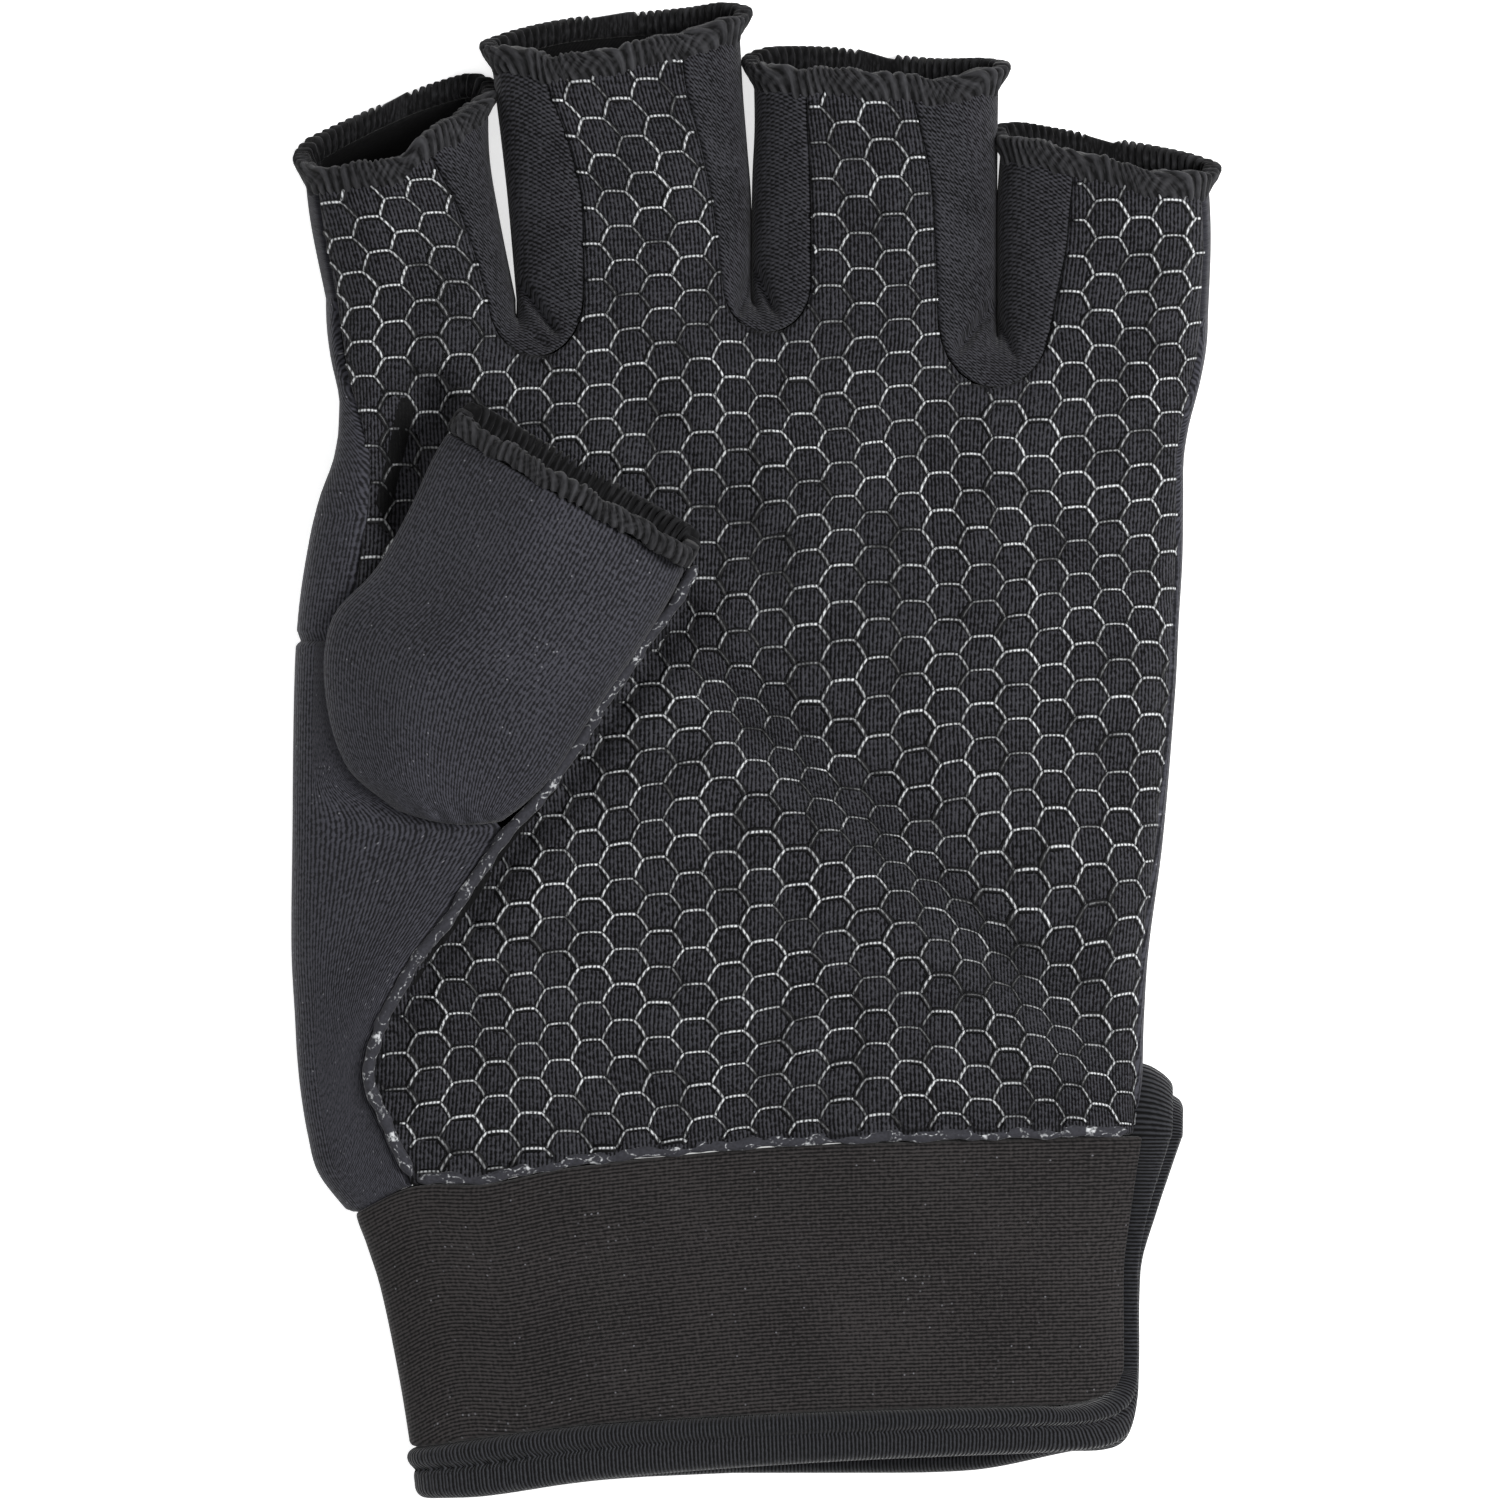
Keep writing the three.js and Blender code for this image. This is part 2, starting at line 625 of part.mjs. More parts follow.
// The fold at the bottom of a crotch joins both arms.
function crotchFold(n, turn, share, margin, depth = 0) {
  const crotch = CROTCHES[n];
  const cut = crotchCut(n, turn, 0);
  const sides = [fingerSide(n, 1, crotch.y, share, margin), fingerSide(n + 1, -1, crotch.y, share, margin)];
  const seams = [fingerSide(n, 1, crotch.y, 0, 0), fingerSide(n + 1, -1, crotch.y, 0, 0)];
  const edges = [fingerRing(n, crotch.y).right, fingerRing(n + 1, crotch.y).left];
  const reaches = [0, 1].map((k) => (sides[k].x - seams[k].x) / (edges[k] - seams[k].x));
  const reach = lerp(reaches[0], reaches[1], turn);
  const turned = Math.PI * turn;
  const tip = {
    x: lerp(edges[0], edges[1], (1 - Math.cos(turned)) / 2),
    y: crotch.y - CROTCH_FOLD.depth * Math.sin(turned),
  };
  const seamHeight = lerp(seams[0].z, seams[1].z, turn);
  const lift = (upperPoint(cut.x, cut.y).z - seamHeight) * (1 - share) ** 2;
  const inward = Math.sin(Math.PI * share) ** 0.5;
  const { over, up } = unitSection(lerp(sides[0].angle, Math.PI - sides[1].angle, turn));
  const level = depth * (1 - up ** 4);
  return new THREE.Vector3(
    lerp(cut.x, tip.x, reach) - level * Math.cos(turned) * lerp(Math.abs(Math.cos(turned)), 1, inward),
    lerp(cut.y, tip.y, reach) - level * Math.sin(turned) * inward,
    lerp(sides[0].z, sides[1].z, turn) + lift + (over ? -depth : depth) * up,
  );
}

function makeFourchette(n) {
  const { arm, bottom, across, margin } = FOURCHETTE;
  return clothWall({
    columns: 2 * arm + bottom,
    rows: across,
    thickness: SIDE_KNIT,
    point: (i, j, depth) => {
      const share = j / across;
      const side = i <= arm ? 1 : -1;
      const finger = i <= arm ? n : n + 1;
      const up = Math.max(arm - i, i - arm - bottom) / arm;
      if (up < 0) return crotchFold(n, (i - arm) / bottom, share, margin, depth);
      const top = mouthPoint(finger, (y) => fingerSide(finger, side, y, share, margin).angle) - SEAM;
      const y = lerp(CROTCHES[n].y, top, up);
      const { x, z } = fingerSide(finger, side, y, share, margin, depth);
      return new THREE.Vector3(x, y, z);
    },
  });
}

// Back panel: flat on the surface, wrapped up to the palm's seams at both edges.
const BACK_COLUMNS = columnPlan(3, 4);
const BACK_WRAP = 5;
const BACK_ROWS = { fingers: 4, upper: 5, lower: 7 };
const BACK_EDGE_MARGIN = 0.5;
const BACK_MOUTH_GAP = 0.6;

function backCut(n, turn) {
  const { x, y } = crotchFold(n, turn, 1, 0);
  return { x, y };
}

function backEdges(n, y) {
  const { left, right } = fingerRing(n, y);
  return [-1, 1].map((side) => (left + right) / 2 + (side * UNDER_SEAM_SHARE * (right - left)) / 2);
}

// A row of the back from the crotches to the wrist. Below the knuckles it spreads to the hand's width.
function backPlan(u, j) {
  const crotch = crotchRow(u, backCut, backEdges);
  const { group, share } = splitColumn(u);
  if (j <= BACK_ROWS.fingers) {
    if (group % 2) return { ...crotch, share: 0 };
    const n = group / 2;
    const under = UNDER_SEAM_SHARE * (2 * share - 1);
    const mouthY = mouthPoint(n, () => underAngle(under)) - BACK_MOUTH_GAP;
    const y = lerp(mouthY, crotch.y, j / BACK_ROWS.fingers);
    return { x: lerp(...backEdges(n, y), share), y, share: under };
  }
  const upper = Math.min((j - BACK_ROWS.fingers) / BACK_ROWS.upper, 1);
  const lower = Math.max((j - BACK_ROWS.fingers - BACK_ROWS.upper) / BACK_ROWS.lower, 0);
  const handShare = UNDER_SEAM_SHARE * ((2 * u) / 7 - 1);
  const rowY = lerp(crotch.y, GUSSET_TOP + SEAM, upper);
  let { x, y } = crotch;
  for (let pass = 0; pass < 6; pass++) {
    const { left, right } = handRing(y);
    x = lerp(crotch.x, (left + right) / 2 + (handShare * (right - left)) / 2, smoothstep(upper, 0, 0.8));
    y = lerp(rowY, read(WRIST_SEAM, "y", "x", x) + SEAM, lower);
  }
  return { x, y, share: handShare };
}

// The back's edge wraps round the side of the first or last finger and of the hand.
function backWrap(side, share, j, depth) {
  const n = side > 0 ? 3 : 0;
  const seam = (y) => palmEdges(n, y)[side > 0 ? 1 : 0];
  const start = side > 0 ? -UNDER_SEAM_ANGLE : Math.PI + UNDER_SEAM_ANGLE;
  const angleIn = (ring, seamX) => {
    const end = angleAt(shareOf(ring, seamX));
    return lerp(start, angleAlong(ring, start, end, 1, BACK_EDGE_MARGIN), share);
  };
  const crotchY = CROTCHES[side > 0 ? 2 : 0].y;
  const mouthY = mouthPoint(n, (y) => angleIn(fingerRing(n, y), seam(y))) - SEAM;
  const flat = backPlan(side > 0 ? 7 : 0, j);
  const y = j <= BACK_ROWS.fingers ? lerp(mouthY, crotchY, j / BACK_ROWS.fingers) : flat.y;
  const finger = fingerRing(n, y);
  const hand = handRing(y);
  const handSeam = side > 0 ? palmRight(y) : read(PALM_LEFT_SEAM, "x", "y", y);
  const onFinger = ringPoint(finger, angleIn(finger, seam(y)), depth);
  const onHand = ringPoint(hand, angleIn(hand, handSeam), depth);
  const intoHand = smoothstep(crotchY - y, 0, CROTCH_FADE);
  return new THREE.Vector3(lerp(onFinger.x, onHand.x, intoHand), y, lerp(onFinger.z, onHand.z, intoHand));
}

function makeBack() {
  const flats = BACK_COLUMNS.groups.length;
  const gussetRow = BACK_ROWS.fingers + BACK_ROWS.upper;
  return clothWall({
    columns: flats + 2 * BACK_WRAP,
    rows: gussetRow + BACK_ROWS.lower,
    thickness: KNIT,
    point: (i, j, depth) => {
      if (i < BACK_WRAP) return backWrap(-1, 1 - i / BACK_WRAP, j, depth);
      if (i > BACK_WRAP + flats) return backWrap(1, (i - BACK_WRAP - flats) / BACK_WRAP, j, depth);
      const { x, y, share } = backPlan(BACK_COLUMNS.at[i - BACK_WRAP], j);
      return underPoint(x, y, share, depth);
    },
    present: (i, j) => {
      if (i < BACK_WRAP) return j < gussetRow;
      if (i >= BACK_WRAP + flats) return true;
      return j >= BACK_ROWS.fingers || BACK_COLUMNS.groups[i - BACK_WRAP] % 2 === 0;
    },
  });
}

// Thumb gusset: from the back's seam round the edge of the hand to the thumb and the palm's thumb edge.
const GUSSET_GRID = { side: 7, top: 4, rows: 13, margin: 0.5, topShare: -0.955 };

function makeGusset() {
  const { side, top, rows, margin, topShare } = GUSSET_GRID;
  const place = (i, y, depth) => {
    const hand = handRing(y);
    const from = Math.PI + UNDER_SEAM_ANGLE;
    const to = angleAt(topShare);
    if (i <= side) {
      const first = angleAlong(hand, from, to, 0, margin);
      const { x, z } = ringPoint(hand, lerp(first, to, i / side), depth);
      return new THREE.Vector3(x, y, z);
    }
    const x = lerp(ringPoint(hand, to).x, read(GUSSET_INNER_EDGE, "x", "y", y), (i - side) / top);
    return upperPoint(x, y, depth);
  };
  return clothWall({
    columns: side + top,
    rows,
    thickness: KNIT,
    point: (i, j, depth) => {
      const wristX = place(i, -48.6, 0).x;
      const y = lerp(GUSSET_TOP - SEAM, read(WRIST_SEAM, "y", "x", wristX) + SEAM, j / rows);
      return place(i, y, depth);
    },
  });
}

// Thumb: a domed front over the palm, and an underside that lies on the palm up to the thumb hole.
const THUMB_GRID = { across: 12, along: 10, under: 5, underInset: 0.08 };

function thumbPlan(at, share) {
  return {
    x: lerp(read(THUMB, "leftX", "at", at), read(THUMB, "rightX", "at", at), share),
    y: lerp(read(THUMB, "leftY", "at", at), read(THUMB, "rightY", "at", at), share),
  };
}

function thumbWidth(at) {
  const left = thumbPlan(at, 0);
  const right = thumbPlan(at, 1);
  return Math.hypot(right.x - left.x, right.y - left.y);
}

// The thumb's upper surface, from its left edge (angle 0) over the crest to its right edge.
function thumbTop(at, angle, depth) {
  const inset = depth / thumbWidth(at);
  const share = lerp(inset, 1 - inset, (1 - Math.cos(angle)) / 2);
  const { x, y } = thumbPlan(at, share);
  const rise = (read(THUMB, "dome", "at", at) - depth) * Math.abs(Math.sin(angle)) ** (2 / THUMB_POWER);
  return new THREE.Vector3(x, y, upperPoint(x, y).z + THUMB_LIFT + rise);
}

function makeThumbFront() {
  const { across, along } = THUMB_GRID;
  return clothWall({
    columns: across,
    rows: along,
    thickness: KNIT,
    point: (i, j, depth) => thumbTop(j / along, (Math.PI * i) / across, depth),
  });
}

function makeThumbUnderside() {
  const { across, under, underInset } = THUMB_GRID;
  const stopAt = (share) => {
    let low = 0;
    let high = 1;
    for (let pass = 0; pass < 30; pass++) {
      const middle = (low + high) / 2;
      if (thumbPlan(middle, share).y > THUMB_UNDERSIDE_END) low = middle;
      else high = middle;
    }
    return low;
  };
  return clothWall({
    columns: across,
    rows: under,
    thickness: SIDE_KNIT,
    point: (i, j, depth) => {
      const share = lerp(underInset, 1 - underInset, i / across);
      const { x, y } = thumbPlan(lerp(0, stopAt(share), j / under), share);
      return new THREE.Vector3(x, y, upperPoint(x, y).z + THUMB_LIFT + depth);
    },
  });
}

// An overlocked hem's section: how far along the finger and how deep below its outer face each corner lies.
const HEM_SECTION = [
  { along: 0, deep: 0 },
  { along: 0.75, deep: -0.1 },
  { along: 1, deep: 0.2 },
  { along: 1, deep: 0.75 },
  { along: 0.75, deep: 1 },
  { along: 0, deep: 1 },
];
const HEM_AROUND = 24;

function makeFingerHem(n) {
  const top = fingerRing(n, FINGERS[n].stations[0].y);
  return closedBand(HEM_AROUND, HEM_SECTION.length, (i, j) => {
    const angle = angleAlong(top, -Math.PI, Math.PI, i / HEM_AROUND, 0);
    const { along, deep } = HEM_SECTION[j];
    const start = mouthPoint(n, () => angle);
    const depth = deep * (HEM.wall + HEM.proud) - HEM.proud;
    const { x, z } = ringPoint(fingerRing(n, start), angle, depth);
    return new THREE.Vector3(x, start + along * HEM.length, Math.max(z, 0));
  });
}

function makeThumbHem() {
  const root = thumbPlan(0.45, 0.5);
  const mouth = thumbPlan(0, 0.5);
  const axis = new THREE.Vector3(mouth.x - root.x, mouth.y - root.y, 0).normalize();
  const dome = THUMB[0].dome;
  return closedBand(HEM_AROUND, HEM_SECTION.length, (i, j) => {
    const angle = (2 * Math.PI * i) / HEM_AROUND;
    const { along, deep } = HEM_SECTION[j];
    const depth = deep * (HEM.wall + HEM.proud) - HEM.proud;
    const inset = depth / thumbWidth(0);
    const { x, y } = thumbPlan(0, lerp(inset, 1 - inset, (1 - Math.cos(angle)) / 2));
    const over = Math.sin(angle) >= 0;
    const up = Math.abs(Math.sin(angle)) ** (2 / (over ? THUMB_POWER : UNDER_POWER));
    const rise = over ? (dome / 2 - depth) * up : (depth - dome / 2) * up;
    const place = new THREE.Vector3(x, y, 0).addScaledVector(axis, SEAM + along * HEM.length);
    place.z = upperPoint(place.x, place.y).z + THUMB_LIFT + HEM.proud + dome / 2 + rise;
    return place;
  });
}

// Cuff: a neoprene band round the wrist, open along the slit.
const CUFF_GRID = { around: 30, rows: 4 };

function cuffPoint(angle, y, depth = 0) {
  const { x, z } = ringPoint(cuffRing(y), angle, depth);
  return new THREE.Vector3(x, y, z);
}

function hemTopY(angle) {
  const { x } = ringPoint(cuffRing(-76), angle);
  return read(CUFF_HEM_TOP, "y", "x", x);
}

function hemEndY(angle) {
  const { x } = ringPoint(cuffRing(-80), angle);
  const palm = read(CUFF_HEM_PALM_END, "y", "x", x);
  const back = read(CUFF_HEM_BACK_END, "y", "x", x);
  return lerp(back, palm, smoothstep(Math.sin(angle), -0.5, 0.5));
}

// The lower end of the cuff's cloth at an angle, with rounded corners beside the slit.
function cuffEndY(angle) {
  const { palmAngle, backAngle, cornerAngle, cornerY } = SLIT;
  const fromPalm = (angle - palmAngle) / (cornerAngle - palmAngle);
  const fromBack = (2 * Math.PI + backAngle - angle) / (cornerAngle - palmAngle);
  const near = clamp(Math.min(fromPalm, fromBack), 0, 1);
  return lerp(cornerY, hemTopY(angle), Math.sqrt(1 - (1 - near) ** 2));
}

function makeCuff() {
  const { around, rows } = CUFF_GRID;
  const { palmAngle, backAngle } = SLIT;
  return clothWall({
    columns: around,
    rows,
    thickness: NEOPRENE,
    point: (i, j, depth) => {
      const angle = lerp(palmAngle, 2 * Math.PI + backAngle, i / around);
      const seamX = ringPoint(cuffRing(-47), angle).x;
      const top = read(WRIST_SEAM, "y", "x", seamX) - SEAM;
      return cuffPoint(angle, lerp(top, cuffEndY(angle) + SEAM, j / rows), depth);
    },
  });
}

// Binding: one tape round the slit, the lower edge of both layers and back to the slit's upper end.
const BINDING_STATIONS = { slit: 6, corner: 5, hem: 26, loop: 10, across: 3 };

// A station on the slit's side (1 is the palm's, -1 the back's): two angles and two places along Y.
function slitStation(side, share) {
  const inner = (side > 0 ? SLIT.palmAngle : -SLIT.backAngle) - SLIT.clearance;
  const y = lerp(SLIT.topY, SLIT.cornerY, share);
  return { side, inner, outer: SLIT.lip, innerY: y, outerY: y };
}

function cornerStation(side, share) {
  const { palmAngle, backAngle, cornerAngle, cornerY, clearance, lip } = SLIT;
  const turn = (Math.PI / 2) * share;
  const first = side > 0 ? palmAngle : -backAngle;
  const inner = first - clearance * Math.cos(turn) + (cornerAngle - palmAngle) * (1 - Math.cos(turn));
  const outer = lip + (inner - lip) * (1 - Math.cos(turn)) ** 0.8;
  const signed = (angle) => (side > 0 ? angle : 2 * Math.PI - angle);
  const onCurve = lerp(cornerY, hemTopY(signed(inner)), Math.sin(turn));
  const innerY = Math.min(onCurve, cuffEndY(signed(inner)) - 0.1);
  const outerY = lerp(cornerY - 2, hemEndY(signed(outer)), Math.sin(turn));
  return { side, inner, outer, innerY, outerY };
}

function bindingStations() {
  const { slit, corner, hem } = BINDING_STATIONS;
  const { palmAngle, backAngle, cornerAngle } = SLIT;
  const stations = [];
  for (let n = 0; n < slit; n++) stations.push(slitStation(1, n / slit));
  for (let n = 0; n < corner; n++) stations.push(cornerStation(1, n / corner));
  for (let n = 0; n <= hem; n++) {
    const angle = lerp(cornerAngle, 2 * Math.PI + backAngle - (cornerAngle - palmAngle), n / hem);
    stations.push({ side: 1, inner: angle, outer: angle, innerY: hemTopY(angle), outerY: hemEndY(angle) });
  }
  for (let n = corner - 1; n >= 0; n--) stations.push(cornerStation(-1, n / corner));
  for (let n = slit - 1; n >= 0; n--) stations.push(slitStation(-1, n / slit));
  return stations;
}

// The tape's loop over the slit's upper end stands out from the hand.
function loopPoint(turn, share, depth) {
  const { topY, innerRise, outerRise, innerX, outerX, loopDepth } = SLIT;
  const palm = slitStation(1, 0);
  const back = slitStation(-1, 0);
  const out = Math.sin(turn);
  const from = cuffPoint(lerp(palm.inner, palm.outer, share), topY, depth);
  const to = cuffPoint(2 * Math.PI - lerp(back.inner, back.outer, share), topY, depth);
  const place = new THREE.Vector3().lerpVectors(from, to, (1 - Math.cos(turn)) / 2);
  const bulge = lerp(innerX, outerX, share) - lerp(1, loopDepth, out) * depth;
  place.x = lerp(place.x, bulge, out ** 0.5);
  place.y += out ** 1.4 * lerp(innerRise, outerRise, share);
  return place;
}

function makeBinding() {
  const { loop, across } = BINDING_STATIONS;
  const stations = bindingStations();
  const plain = stations.length;
  return clothWall({
    columns: plain + loop - 1,
    rows: across,
    loop: true,
    thickness: BINDING,
    point: (i, j, depth) => {
      const share = j / across;
      if (i >= plain) return loopPoint(Math.PI * (1 - (i - plain + 1) / loop), share, depth);
      const { side, inner, outer, innerY, outerY } = stations[i];
      const angle = lerp(inner, outer, share);
      return cuffPoint(side > 0 ? angle : 2 * Math.PI - angle, lerp(innerY, outerY, share), depth);
    },
  });
}

// Closure tab: a plain hook-and-loop tab against the cuff's back.
function makeTab() {
  const { left, right, low, high, corner, thickness } = TAB;
  const shape = new THREE.Shape();
  shape.moveTo(left + corner, low);
  shape.lineTo(right - corner, low);
  shape.absarc(right - corner, low + corner, corner, -Math.PI / 2, 0);
  shape.lineTo(right, high - corner);
  shape.absarc(right - corner, high - corner, corner, 0, Math.PI / 2);
  shape.lineTo(left + corner, high);
  shape.absarc(left + corner, high - corner, corner, Math.PI / 2, Math.PI);
  shape.lineTo(left, low + corner);
  shape.absarc(left + corner, low + corner, corner, Math.PI, 1.5 * Math.PI);
  return new THREE.ExtrudeGeometry(shape, { depth: thickness, bevelEnabled: false, curveSegments: 4 });
}

const cloth = (color, roughness) => new THREE.MeshStandardMaterial({ color, roughness, metalness: 0 });
const MATERIALS = {
  grip: cloth("#222326", 0.7),
  knit: cloth("#26272b", 0.85),
  sideKnit: cloth("#202124", 0.85),
  neoprene: cloth("#231f1d", 0.9),
  tape: cloth("#1d2024", 0.8),
  thread: cloth("#1c1c1e", 0.85),
};

const glove = new THREE.Group();

function addPiece(name, geometry, material) {
  const piece = new THREE.Mesh(geometry, material);
  piece.name = name;
  glove.add(piece);
}

addPiece("palm_panel", makePalm(), MATERIALS.grip);
addPiece("back_panel", makeBack(), MATERIALS.knit);
addPiece("thumb_gusset", makeGusset(), MATERIALS.knit);
addPiece("thumb_front", makeThumbFront(), MATERIALS.knit);
addPiece("thumb_underside", makeThumbUnderside(), MATERIALS.grip);
CROTCHES.forEach(({ name }, n) => addPiece(`fourchette_${name}`, makeFourchette(n), MATERIALS.sideKnit));
FINGERS.forEach(({ name }, n) => addPiece(`hem_${name}`, makeFingerHem(n), MATERIALS.thread));
addPiece("hem_thumb", makeThumbHem(), MATERIALS.thread);
addPiece("cuff", makeCuff(), MATERIALS.neoprene);
addPiece("cuff_binding", makeBinding(), MATERIALS.tape);
addPiece("closure_tab", makeTab(), MATERIALS.tape);

export default glove;
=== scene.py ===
"""A left-hand field hockey glove with half fingers, lying palm up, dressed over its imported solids.

Shapes are worked out in millimetres in the frame of the solids: +Z up, +Y to the fingertips, +X to the
little finger. They are turned to metres when they are put into a mesh. Each piece of cloth is a wall on a
grid, with an outer face, an inner face and rounded edges, and carries a UV map named cloth in millimetres.
"""

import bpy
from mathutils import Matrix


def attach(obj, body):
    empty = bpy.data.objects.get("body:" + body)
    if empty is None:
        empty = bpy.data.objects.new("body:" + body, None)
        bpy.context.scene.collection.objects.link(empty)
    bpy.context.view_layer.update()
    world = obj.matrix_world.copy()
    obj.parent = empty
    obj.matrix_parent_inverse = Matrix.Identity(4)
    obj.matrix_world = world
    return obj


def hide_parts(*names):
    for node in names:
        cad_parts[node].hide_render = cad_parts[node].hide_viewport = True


bl_info = {
    "name": "Field Hockey Glove",
    "version": (1, 0, 0),
    "blender": (4, 5, 0),
    "location": "3D View > Sidebar > Glove",
    "description": "Dresses a half-finger field hockey glove: grip print, knit, hems, cuff and binding",
    "category": "Object",
}

import bpy
import numpy as np
from bpy.props import FloatProperty, FloatVectorProperty, PointerProperty
from mathutils import Vector

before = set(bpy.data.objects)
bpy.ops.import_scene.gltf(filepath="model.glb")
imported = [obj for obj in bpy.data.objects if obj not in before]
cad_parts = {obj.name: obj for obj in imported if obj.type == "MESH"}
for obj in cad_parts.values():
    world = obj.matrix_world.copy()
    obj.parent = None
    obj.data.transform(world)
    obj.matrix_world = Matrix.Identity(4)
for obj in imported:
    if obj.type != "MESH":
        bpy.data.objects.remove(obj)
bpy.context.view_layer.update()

MM = 0.001
PI = np.pi

# Cross-sections are flattened superellipses: a domed top, a nearly flat underside, widest at the belly.
TOP_POWER = 2.6
UNDER_POWER = 8.0
UNDER_REACH = 1.03
BELLY = 0.45
UNDER_SEAM_SHARE = 0.8
UNDER_SEAM_ANGLE = np.arccos(UNDER_SEAM_SHARE ** (UNDER_POWER / 2))

# Wall thicknesses, the gap between sewn neighbours, how far cloth runs into a hem, and the hems' section.
KNIT = 1.2
GRIP_FABRIC = 1.2
SIDE_KNIT = 1.0
NEOPRENE = 2.2
BINDING = 2.6
SEAM = 0.05
INTO_HEM = 0.4
HEM_LENGTH = 2.2
HEM_WALL = 1.7
HEM_PROUD = 0.3
HEM_ROUNDING = 0.55

# The hand from knuckles to wrist: y, left edge, right edge, height.
HAND = np.array([
    (52, -47.6, 51.4, 13.6),
    (44, -46.6, 50.3, 14.6),
    (39.2, -45.9, 49.6, 15.4),
    (33, -46.4, 48.5, 16.2),
    (28, -48.2, 48.4, 16.8),
    (21.3, -49.6, 48.3, 17.3),
    (14.6, -50.5, 47.9, 17.8),
    (6.7, -50.9, 47.5, 18),
    (-10.1, -51.1, 46.1, 18),
    (-22.4, -51.2, 44.5, 17.4),
    (-30.2, -50.8, 44, 16.6),
    (-34, -50.6, 43.9, 16.1),
    (-38.1, -50.2, 43.8, 15.4),
    (-43, -49.4, 43.7, 14.6),
    (-47.3, -48.2, 43.5, 14.1),
    (-52, -44.6, 43.3, 13.8),
])

# Each finger's stations: y, left edge, left palm seam, right palm seam, right edge.
STATIONS = [
    np.array([
        (72.8, -49.7, -48.7, -38.4, -29.3),
        (66.1, -49.8, -48.7, -35.3, -29.1),
        (59.4, -49.2, -48.0, -31.9, -28.0),
        (50.4, -47.4, -46.3, -29.0, -26.2),
    ]),
    np.array([
        (79.5, -29.2, -24.0, -7.6, -1.1),
        (73.7, -28.5, -22.6, -6.9, -0.8),
        (68.0, -27.8, -20.5, -5.4, -0.35),
        (61.2, -27.05, -18.9, -4.0, 0.15),
        (50.4, -26.1, -18.7, -2.6, 0.25),
    ]),
    np.array([
        (76.2, 0.4, 6.0, 17.4, 27.8),
        (69.7, 0.5, 6.2, 19.0, 27.7),
        (64.0, 0.25, 6.5, 20.3, 27.65),
        (57.2, 0.15, 6.6, 20.8, 27.65),
        (48.2, 0.2, 6.6, 21.1, 27.6),
    ]),
    np.array([
        (68.3, 28.1, 36.3, 49.4, 50.8),
        (61.2, 27.6, 35.6, 50.6, 51.4),
        (56.1, 27.55, 35.1, 50.8, 51.5),
        (48.2, 27.6, 33.5, 50.4, 51.2),
    ]),
]

# Where each finger's cloth ends, on the palm side and on the back: x, y.
PALM_MOUTH = [
    np.array([(-49.3, 65.0), (-39.2, 66.3), (-36.6, 68.4), (-29.1, 73.1)]),
    np.array([(-29.8, 78.3), (-24.9, 78.4), (-22.0, 77.4), (-8.1, 80.0), (-0.6, 82.2)]),
    np.array([(0.0, 76.4), (6.0, 76.2), (16.4, 75.5), (20.0, 74.9), (28.9, 76.4)]),
    np.array([(28.1, 68.7), (36.0, 67.0), (46.7, 64.4), (50.7, 64.6)]),
]
BACK_MOUTH = [
    np.array([(-48.4, 68.7), (-41.9, 71.6), (-36.5, 73.7), (-29.5, 75.6)]),
    np.array([(-29.8, 79.4), (-20.5, 81.4), (-6.3, 82.6), (-0.6, 83.6)]),
    np.array([(1.0, 78.3), (9.6, 78.1), (21.1, 76.9), (28.9, 77.1)]),
    np.array([(28.1, 70.0), (38.2, 68.4), (45.2, 67.2), (50.7, 66.1)]),
]

# Crotches between the fingers: x of the line of contact, y, and how deep the palm is cut below it.
CROTCH = np.array([(-26.1, 50.4, 6.5), (0.2, 51.9, 5.3), (27.6, 48.2, 7.8)])
CROTCH_FADE = 12.0
CROTCH_FOLD_DEPTH = 1.8
FINGER_SIDE_SHARE = 0.86

# The fingers' height at their roots and at their tips, with the y of the roots and the run from there.
FINGER_HEIGHTS = (13.0, 11.4)
FINGER_ROOT = 48
FINGER_RUN = 30

# Seams of the palm panel, of the wrist and of the gusset.
HOLE_TOP = 17.9
PALM_LEFT_SEAM = np.array([
    (50.4, -46.3), (41.4, -45.0), (36.8, -43.7), (32.1, -42.9), (26.1, -43.2), (17.9, -44.2),
])
PALM_THUMB_EDGE = np.array([
    (17.9, -8.0), (7.8, -15.2), (-2.1, -21.6), (-5.4, -24.2), (-10.4, -28.6), (-17.6, -33.4),
    (-24.3, -38.4), (-29.7, -41.2), (-34.4, -42.9), (-38.6, -42.5), (-42.9, -40.5), (-48.6, -38.0),
])
PALM_RIGHT_INSET = 0.6
WRIST_SEAM = np.array([
    (-44.8, -51.6), (-38.0, -48.6), (-29.8, -48.3), (-20.5, -46.5), (-2.7, -44.6), (11.2, -43.8),
    (43.7, -43.0),
])
GUSSET_TOP = 12.3
GUSSET_INNER_EDGE = np.array([
    (12.3, -46.4), (6.7, -46.2), (2.9, -45.6), (0.0, -44.4), (-2.8, -42.4), (-4.6, -38.8),
    (-6.2, -33.0), (-8.2, -28.6), (-10.4, -29.0), (-17.6, -33.9), (-24.3, -38.9), (-29.7, -41.7),
    (-34.4, -43.4), (-38.6, -43.0), (-42.9, -41.0), (-48.6, -38.5),
])
GUSSET_TOP_SHARE = -0.955

# The palm's fall beside the thumb seam: its depth near the wrist and what it gains above, then where it
# starts, where it is deepest and how wide it fades, in mm from the seam.
FALL = {"low": 0.4, "gain": 2.2, "start": 0.6, "bottom": 1.5, "fade": 2.3}

